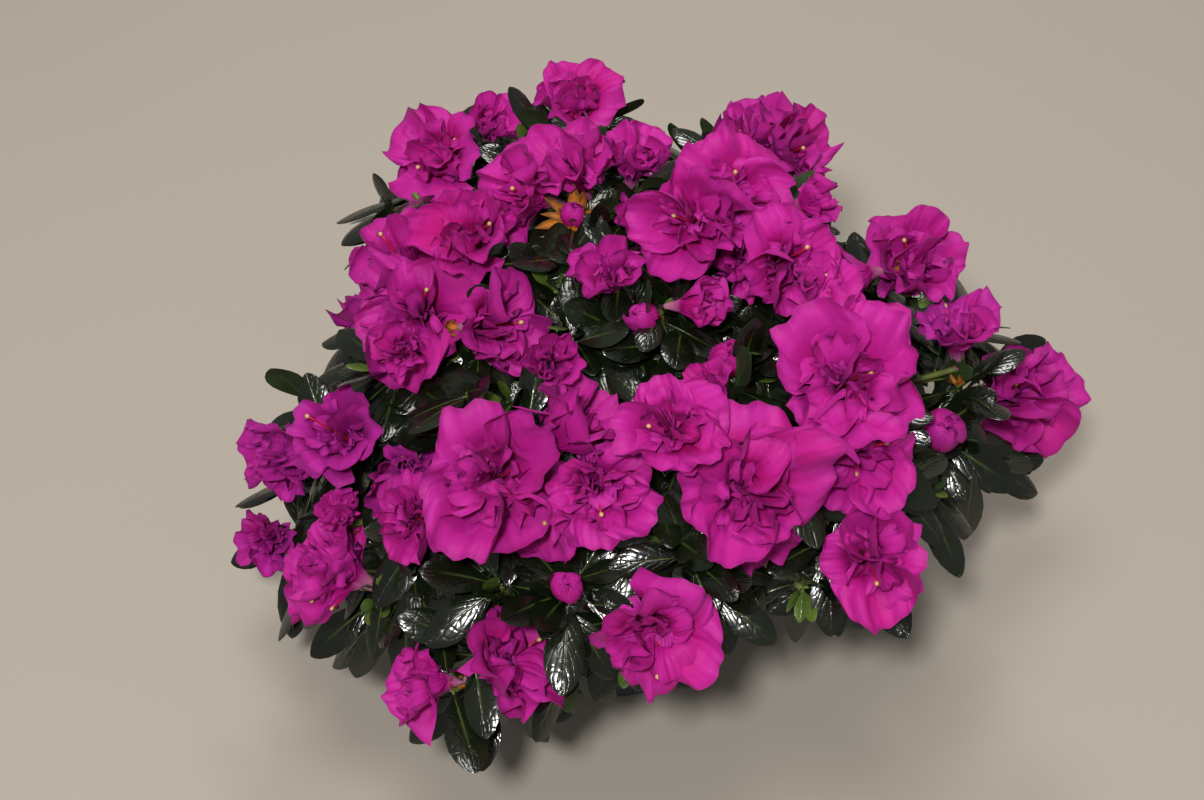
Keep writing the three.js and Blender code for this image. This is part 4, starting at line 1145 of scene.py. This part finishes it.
def bloom_petals(bloom):
    """The petals of one bloom, outer ones first, then the second ring, then the crumpled heart."""
    key, size = bloom.key, bloom.size
    start = between(0, 2 * math.pi, *key, 7)
    hand = 1 if chance(*key, 20) < 0.5 else -1
    if bloom.kind == "B":
        return [], bud_petals(bloom, start, hand), []
    openness = bloom.openness
    if openness is None:
        openness = between(*OPENNESS[bloom.kind], *key, 21)
    openness **= 1.3
    outer, inner, heart = [], [], []
    walls = walls_of(bloom)
    full = (bloom.radius - THROAT * size) / 0.8 * FULLER.get(key, 1)
    raised = {int(5 * chance(*key, number)) for number in (61, 65)}
    for n in range(5):
        draw = drawer(*key, n)
        length = full * draw(24, 0.86, 1.2)
        rises = draw(64, 0.25, 0.8) if n in raised else 0
        numbers = petal(
            bloom, draw, turn=start + 2 * math.pi * n / 5 + draw(23, -0.3, 0.3), length=length,
            high=OUTER_START + (draw(26, 1.15, 1.95) - rises - OUTER_START) * openness,
            width=0.7 * length, ruffle=0.09 * length * draw(25, 0.6, 1.8), spiral=1.1 * hand,
            twist=draw(66, -0.25, 0.25), fold=draw(43, -0.9, 1.1), lop=draw(44, -1, 1),
        )
        opening = fitted_opening(bloom, walls, numbers)
        numbers["high"] = OUTER_START + (numbers["high"] - OUTER_START) * opening
        outer.append(numbers)
    second = 5 if bloom.kind == "W" else 4
    for n in range(second):
        draw = drawer(*key, n, 1)
        angle = start + 0.6 + 2 * math.pi * n / second + draw(27, -0.3, 0.3)
        beside = outer[int(round((angle - start) / (2 * math.pi / 5))) % 5]
        length = full * draw(28, 0.72, 0.94) * (0.82 + 0.18 * openness)
        high = 0.25 + (beside["high"] - 0.25) * draw(29, 0.35, 0.95)
        inner.append(
            petal(
                bloom, draw, turn=angle, length=length, low=0.2, high=high, width=0.56 * length,
                base=1.2 * size, throat=3.6 * size, tube=TUBE_SHARE * bloom.tube + 1, wrap=0.8,
                ruffle=0.17 * length * draw(30, 0.6, 1.4), spiral=-1.2 * hand, twist=draw(32, -0.5, 0.5),
                cup=draw(31, -0.4, 0.35), fold=draw(45, -0.9, 1.2), lop=draw(46, -1, 1),
            )
        )
    clusters = 2 if openness > 0.5 and chance(*key, 62) < 0.75 else 1
    origin = bloom.calyx + bloom.facing * (TUBE_SHARE * bloom.tube - 4 * size)
    for n in range(HEART_PETALS[bloom.kind]):
        draw = drawer(*key, n, 2)
        apart = (clusters - 1) * between(0.35, 0.55, *key, n % clusters, 63)
        middle = unit(bloom.facing + apart * round_about(bloom.facing, math.pi * (n % clusters) + start))
        around = round_about(middle, start + 2.4 * n + draw(33, -0.4, 0.4))
        lean = draw(34, 0.03, 0.4) * (0.4 + 0.6 * openness)
        axis = unit(middle * math.cos(lean) + around * math.sin(lean))
        length = full * draw(35, 0.38, 0.7) * (0.75 + 0.25 * openness)
        heart.append(
            petal(
                bloom, draw, origin=origin, axis=axis, first=unit(around - axis * np.dot(around, axis)),
                turn=draw(36, -0.9, 0.9), length=length, low=0.1, high=draw(38, 0.3, 1.6),
                width=0.52 * length, base=0.8 * size, throat=draw(37, 1.6, 3) * size,
                tube=5.5 * size, round=0.3, wrap=1.0, widest=1.5, waves=draw(40, 0.9, 1.7),
                ruffle=0.18 * length * draw(39, 0.5, 1.2), spiral=1.3 * hand, twist=draw(42, -0.6, 0.6),
                cup=draw(41, -0.5, 0.6), fold=draw(47, -0.6, 0.8), lop=draw(48, -1, 1),
            )
        )
    return outer, inner, heart


def blossom_sheaves(thickness):
    """The petals of all blooms, in a sheaf for each shade and layer."""
    groups = {}
    for bloom in grown().blooms:
        for layer, petals in enumerate(bloom_petals(bloom)):
            groups.setdefault((bloom.shade, layer), []).extend(petals)
    sheaves = {}
    for (shade, layer), petals in sorted(groups.items()):
        face, patterns = petal_places(petals, *PETAL_GRIDS[layer])
        rows = face.shape[1] - 1
        sheaf = sheaves[shade, layer] = Sheaf()
        add_blades(sheaf, face, patterns, thickness, [0] * rows, [1] * rows)
    return sheaves


def add_styles(sheaf):
    """A crimson style and a stamen or two from each open bloom, each with a tan knob."""
    for bloom in grown().blooms:
        if bloom.kind not in "WO" or (bloom.openness or 1) < 0.3:
            continue
        for n in range(1 + int(3 * chance(*bloom.key, 81))):
            draw = drawer(*bloom.key, n)
            aside = round_about(bloom.facing, draw(82, 0, 6.28))
            start = bloom.calyx + bloom.facing * 6 + aside * 1.2
            length = (bloom.tube - 6) * (1.5 if n == 0 else 1.05) * draw(83, 0.9, 1.2)
            end = start + bloom.facing * length + aside * draw(84, 5, 14)
            curve = bend(start, bloom.facing, end, unit(bloom.facing + 0.9 * aside))
            places = curve.places(np.linspace(0, 1, 9))
            add_tube(sheaf, places, np.linspace(0.55, 0.4, 9), 6)
            knob = places[-1] + unit(places[-1] - places[-2]) * np.linspace(-0.6, 1.6, 6)[:, None]
            radii = np.sqrt(np.maximum(0.02, 1 - np.linspace(-0.95, 0.95, 6) ** 2))
            add_tube(sheaf, knob, (1.0 if n == 0 else 0.8) * radii, 8, 1)


# Operators

# Name, place, width in metres, power in watts and colour of each lamp
LAMPS = (
    ("overhead", (-0.1, -0.3, 2.0), 0.6, 11, (1.0, 0.96, 0.9)),
    ("behind", (0.15, 1.1, 1.5), 0.4, 7, (1.0, 0.97, 0.93)),
    ("front", (-0.2, -1.2, 1.9), 0.2, 31, (1.0, 0.98, 0.96)),
)
LAMP_TARGET = (0, 0, 0.15)
ROOM_COLOUR = (0.96, 0.93, 0.92, 1)
ROOM_LIGHT = 0.24
FLOOR_HALF = 9.0
CAMERA_LENS = 74.75
CAMERA_PLACE = (-0.004, -0.745, 1.048)


def masses(*shades):
    """The CAD nodes of the masses, or of those with petals of given shades."""
    return [row[0] + "_foliage" for row in SPRAYS if not shades or row[-1] in shades]


class AZALEA_OT_add_pot(bpy.types.Operator):
    """Adds the pot: a smooth tapered wall with a rounded rim and a bevelled foot"""

    bl_idname = "azalea.add_pot"
    bl_label = "Pot"

    def execute(self, context):
        shoulder, half = POT_HEIGHT - POT_EDGE, POT_WALL / 2
        middle = wall_at(shoulder) - half
        outline = [(0, 0), (30, 0), (POT_FOOT_RADIUS - POT_EDGE, 0), (POT_FOOT_RADIUS - 0.4, 0.5)]
        outline += [(wall_at(h), h) for h in (POT_EDGE, 3, 20, 40, 60, 80, 100, 108)]
        for turn in np.linspace(0, math.pi, 9):
            outline.append((middle + half * math.cos(turn), shoulder + POT_EDGE * math.sin(turn)))
        outline += [(wall_at(h) - POT_WALL, h) for h in (108, 90, 60, 30, POT_FLOOR + 1)]
        outline += [(wall_at(POT_FLOOR) - POT_WALL - 1, POT_FLOOR), (0, POT_FLOOR)]
        sheaf = Sheaf()
        add_turned(sheaf, outline, 96)
        rough, bump = (0.38, 0.3, 45, 5, 0.6), (0.0001, 0.5, 700, 3)
        plastic = grained_finish("slate_plastic", tone("pot"), (0.8, 1.25), (14, 4), rough, bump, shine=0.4)
        sheaf.piece("pot_shell", [plastic], ["pot"], "pot")
        return {"FINISHED"}


class AZALEA_OT_add_soil(bpy.types.Operator):
    """Adds the soil: a crumbly peat crown, higher in the middle"""

    bl_idname = "azalea.add_soil"
    bl_label = "Soil"

    def execute(self, context):
        edge, low = SOIL_HEIGHT - SOIL_DOME, POT_FLOOR + CLEAR
        reach = wall_at(edge) - POT_WALL - CLEAR - 0.2
        outline = [(0, low), (POT_FOOT_RADIUS - POT_WALL - CLEAR, low), (reach, edge)]
        for share in np.linspace(0.98, 0.03, 40):
            outline.append((reach * share, edge + SOIL_DOME * min(1, (1 - share) * 2.4)))
        outline += [(0, SOIL_HEIGHT)]

        def crumbs(places):
            """Raises the crown by crossing waves of many lengths."""
            x, y, z = np.moveaxis(places, -1, 0)
            lift = np.zeros_like(x)
            for n in range(14):
                turn, phase = between(0, 6.28, n, 91), between(0, 6.28, n, 93)
                wave = between(0.15, 1.1, n, 92)
                across_them = x * math.cos(turn) + y * math.sin(turn)
                lift += 0.4 / (0.4 + wave) * np.sin(wave * across_them + phase)
            return np.stack([x, y, z + (z > edge + 0.01) * np.clip(0.55 * lift, -1.2, 1.2)], axis=-1)

        sheaf = Sheaf()
        add_turned(sheaf, outline, 160, crumbs)
        rough, bump, edges = (0.85, 0.1), (0.002, 0.9), (0.35, 0.7)
        peat = grained_finish("peat", tone("soil"), (0.5, 1.8), (260, 6, 0.7), rough, bump, edges, 0.2)
        sheaf.piece("peat_crown", [peat], ["soil"], "soil")
        return {"FINISHED"}


class AZALEA_OT_add_wood(bpy.types.Operator):
    """Adds trunk and boughs with the relief of their bark, and the twigs that carry leaves and blooms"""

    bl_idname = "azalea.add_wood"
    bl_label = "Wood"

    def execute(self, context):
        wood, twigs = Sheaf(), Sheaf()
        for number, (name, limb) in enumerate(grown().limbs.items()):
            steps, sides = TRUNK_GRID if name == "trunk" else BOUGH_GRID
            add_limb(wood, limb, steps, sides, number, 0.05)
        noise, rough, bump, edges = (150, 5, 0.65), (0.7, 0.25), (0.001, 0.9), (0.3, 0.7)
        bark = grained_finish("azalea_bark", tone("bark"), (0.45, 1.5), noise, rough, bump, edges, 0.3)
        wood.piece("bark_wood", [bark], ["trunk"] + [row[0] + "_bough" for row in SPRAYS], "bark")
        for number, shoot in enumerate(grown().shoots):
            add_limb(twigs, shoot.twig, 17, TWIG_SIDES, 100 + number, 0.04, [0] * 11 + [1] * 5)
        for twig in finer_twigs() + fill_twigs():
            places = twig.curve.places(np.linspace(0, 1, 9))
            add_tube(twigs, places, np.linspace(0.95, 0.8, 9), 6, [0] * 3 + [1] * 5)
        brown = plain_finish("twig_bark", "twig", 0.75, spread=0.4, depth=0.0006)
        twigs.piece("twigs", [brown, plain_finish("young_shoot", "shoot", 0.55)], masses())
        return {"FINISHED"}


class AZALEA_OT_add_leaves(bpy.types.Operator):
    """Adds the leaves: whorls under every bloom and leafy shoot, and older leaves inside the crown"""

    bl_idname = "azalea.add_leaves"
    bl_label = "Leaves"

    def execute(self, context):
        sheaves = [Sheaf() for _ in range(4)]
        add_leaves(sheaves, context.scene.azalea.leaf_thickness / MM)
        shades = {name: scaled(tone("leaf"), factor) for name, factor in LEAF_SHADES}
        shades["young"] = tone("young")
        scale = scale_finish()
        back = leaf_finish("leaf_back", tone("leaf_back"), True)
        stalk = plain_finish("leaf_stalk", "rib", 0.5)
        for sheaf, (name, shade) in zip(sheaves, shades.items()):
            sheaf.piece("leaves_" + name, [leaf_finish("leaf_" + name, shade), back, stalk], masses())
        scales = Sheaf()
        add_scales(scales)
        scales.piece("bud_scales", [scale], masses())
        return {"FINISHED"}


class AZALEA_OT_add_blossom(bpy.types.Operator):
    """Adds the double blooms: outer petals, a second ring, a crumpled heart, and the styles"""

    bl_idname = "azalea.add_blossom"
    bl_label = "Blossom"

    def execute(self, context):
        backs = [petal_finish("petal_back_" + name, tone(name), True) for name in SHADES]
        sheaves = blossom_sheaves(context.scene.azalea.petal_thickness / MM)
        for (shade, layer), sheaf in sheaves.items():
            name = f"{LAYERS[layer]}_{SHADES[shade]}"
            # The heart's small petals are blended towards a lighter purple. This is partly their own hue and
            # partly painted light where shade falls inside the bloom.
            colour = blended(tone(SHADES[shade]), tone("heart"), 0.4 if layer == 2 else 0)
            front = petal_finish("petal_" + name, colour, False, speckled=layer == 0)
            name = f"petals_{SHADES[shade]}_{LAYERS[layer]}"
            sheaf.piece(name, [front, backs[shade]], masses(shade), "foliage")
        styles = Sheaf()
        add_styles(styles)
        knob = plain_finish("stigma_tan", "stigma", 0.6)
        styles.piece("styles", [plain_finish("style_crimson", "style", 0.4), knob])
        return {"FINISHED"}


class AZALEA_OT_add_stage(bpy.types.Operator):
    """Adds a plain pale floor, soft light from above and in front, and the camera"""

    bl_idname = "azalea.add_stage"
    bl_label = "Stage"

    def execute(self, context):
        scene = context.scene

        def stand(name, data, place=(0, 0, 0)):
            made = bpy.data.objects.new(name, data)
            made.location = place
            scene.collection.objects.link(made)
            return made

        mesh = bpy.data.meshes.new("floor")
        half = FLOOR_HALF
        corners = [(-half, -half, 0), (half, -half, 0), (half, half, 0), (-half, half, 0)]
        mesh.from_pydata(corners, [], [(0, 1, 2, 3)])
        rough = (0.6, 0.1, 30, 3)
        floor = grained_finish("pale_floor", tone("floor"), (0.97, 1.02), (3, 3), rough, shine=0.25)
        mesh.materials.append(floor)
        stand("floor", mesh)
        for name, place, size, power, colour in LAMPS:
            data = bpy.data.lights.new(name, "AREA")
            data.shape = "DISK"
            data.size, data.energy, data.color = size, power * scene.azalea.light_power, colour
            lamp = stand(name, data, place)
            lamp.rotation_mode = "QUATERNION"
            lamp.rotation_quaternion = Vector(np.subtract(LAMP_TARGET, place)).to_track_quat("-Z", "Y")
        world = bpy.data.worlds.new("soft_room")
        world.use_nodes = True
        back = world.node_tree.nodes["Background"]
        back.inputs["Color"].default_value = ROOM_COLOUR
        back.inputs["Strength"].default_value = ROOM_LIGHT
        scene.world = world
        scene.view_settings.view_transform = "Standard"
        camera = bpy.data.cameras.new("photo_view")
        camera.sensor_width, camera.lens, camera.clip_start = 36, CAMERA_LENS, 0.01
        scene.camera = stand("photo_view", camera, CAMERA_PLACE)
        scene.camera.rotation_euler = (math.pi / 2 - VIEW_PITCH, 0, 0)
        return {"FINISHED"}


def colour_property(name, description, default):
    return FloatVectorProperty(
        name=name, description=description, default=default, size=3, min=0, max=1, subtype="COLOR"
    )


def size_property(name, description, default):
    return FloatProperty(name=name, description=description, default=default, unit="LENGTH")


class AzaleaSettings(bpy.types.PropertyGroup):
    """Sizes and colours of the plant, its pot and the stage."""

    bright_colour: colour_property("Bright petals", "Petals in full light", (0.50, 0.005, 0.235))
    deep_colour: colour_property("Deep petals", "Petals of older blooms", (0.42, 0.004, 0.20))
    # Painted shade: a darker copy of the petal colour for the petals at the shaded edge.
    violet_colour: colour_property("Violet petals", "Petals at the shaded edge", (0.35, 0.006, 0.215))
    # A painted highlight: the lighter cast that the petals take towards their rims.
    highlight_lavender_colour: colour_property("Lavender", "Cast of the petals towards their rims", (0.52, 0.04, 0.36))
    # Partly the small petals' own purple cast, and partly painted light: it is lighter than the outer petals
    # where shade falls inside the bloom.
    heart_colour: colour_property("Heart", "Violet cast of the small petals inside", (0.52, 0.03, 0.36))
    flush_colour: colour_property("Flush", "Crimson clouds on the petals", (0.47, 0.004, 0.115))
    throat_colour: colour_property("Throat", "Inside of the tube", (0.60, 0.02, 0.08))
    tube_colour: colour_property("Tube", "Outside of the tube", (0.78, 0.25, 0.45))
    style_colour: colour_property("Styles", "Styles and filaments", (0.55, 0.01, 0.03))
    stigma_colour: colour_property("Stigmas", "Knobs of styles and stamens", (0.6, 0.4, 0.14))
    leaf_colour: colour_property("Leaves", "Upper side of the leaves", (0.0048, 0.0082, 0.003))
    leaf_back_colour: colour_property("Leaf backs", "Lower side of the leaves", (0.03, 0.055, 0.018))
    young_colour: colour_property("Young leaves", "Youngest leaves of a shoot", (0.085, 0.14, 0.024))
    rib_colour: colour_property("Ribs", "Midribs and leaf stalks", (0.13, 0.2, 0.03))
    scale_colour: colour_property("Bud scales", "Dry scales at a flower stalk's foot", (0.58, 0.19, 0.018))
    bark_colour: colour_property("Bark", "Trunk and boughs", (0.15, 0.095, 0.055))
    twig_colour: colour_property("Twigs", "Older twigs", (0.13, 0.085, 0.04))
    shoot_colour: colour_property("Shoots", "Tips of the twigs", (0.12, 0.15, 0.03))
    pot_colour: colour_property("Pot", "Slate plastic", (0.045, 0.053, 0.066))
    soil_colour: colour_property("Soil", "Moist peat", (0.035, 0.02, 0.012))
    floor_colour: colour_property("Floor", "Pale table top", (0.43, 0.388, 0.333))
    petal_thickness: size_property("Petal thickness", "Thickness of a petal", 0.0003)
    leaf_thickness: size_property("Leaf thickness", "Thickness of a leaf", 0.0005)
    light_power: FloatProperty(
        name="Light", description="Factor on the lamps' power", default=1.0, subtype="FACTOR", min=0, max=4
    )


class AZALEA_PT_panel(bpy.types.Panel):
    """Lists the pieces and their settings"""

    bl_label = "Azalea"
    bl_idname = "AZALEA_PT_panel"
    bl_space_type = "VIEW_3D"
    bl_region_type = "UI"
    bl_category = "Azalea"

    def draw(self, context):
        for operator in OPERATORS:
            self.layout.operator(operator.bl_idname, text=operator.bl_label)
        for key in AzaleaSettings.__annotations__:
            self.layout.prop(context.scene.azalea, key)


OPERATORS = (
    AZALEA_OT_add_pot,
    AZALEA_OT_add_soil,
    AZALEA_OT_add_wood,
    AZALEA_OT_add_leaves,
    AZALEA_OT_add_blossom,
    AZALEA_OT_add_stage,
)
CLASSES = (AzaleaSettings, *OPERATORS, AZALEA_PT_panel)


def register():
    for each in CLASSES:
        bpy.utils.register_class(each)
    bpy.types.Scene.azalea = PointerProperty(type=AzaleaSettings)


def unregister():
    del bpy.types.Scene.azalea
    for each in reversed(CLASSES):
        bpy.utils.unregister_class(each)


def main():
    register()
    bpy.ops.azalea.add_pot()
    bpy.ops.azalea.add_soil()
    bpy.ops.azalea.add_wood()
    bpy.ops.azalea.add_leaves()
    bpy.ops.azalea.add_blossom()
    bpy.ops.azalea.add_stage()


if __name__ == "__main__":
    main()
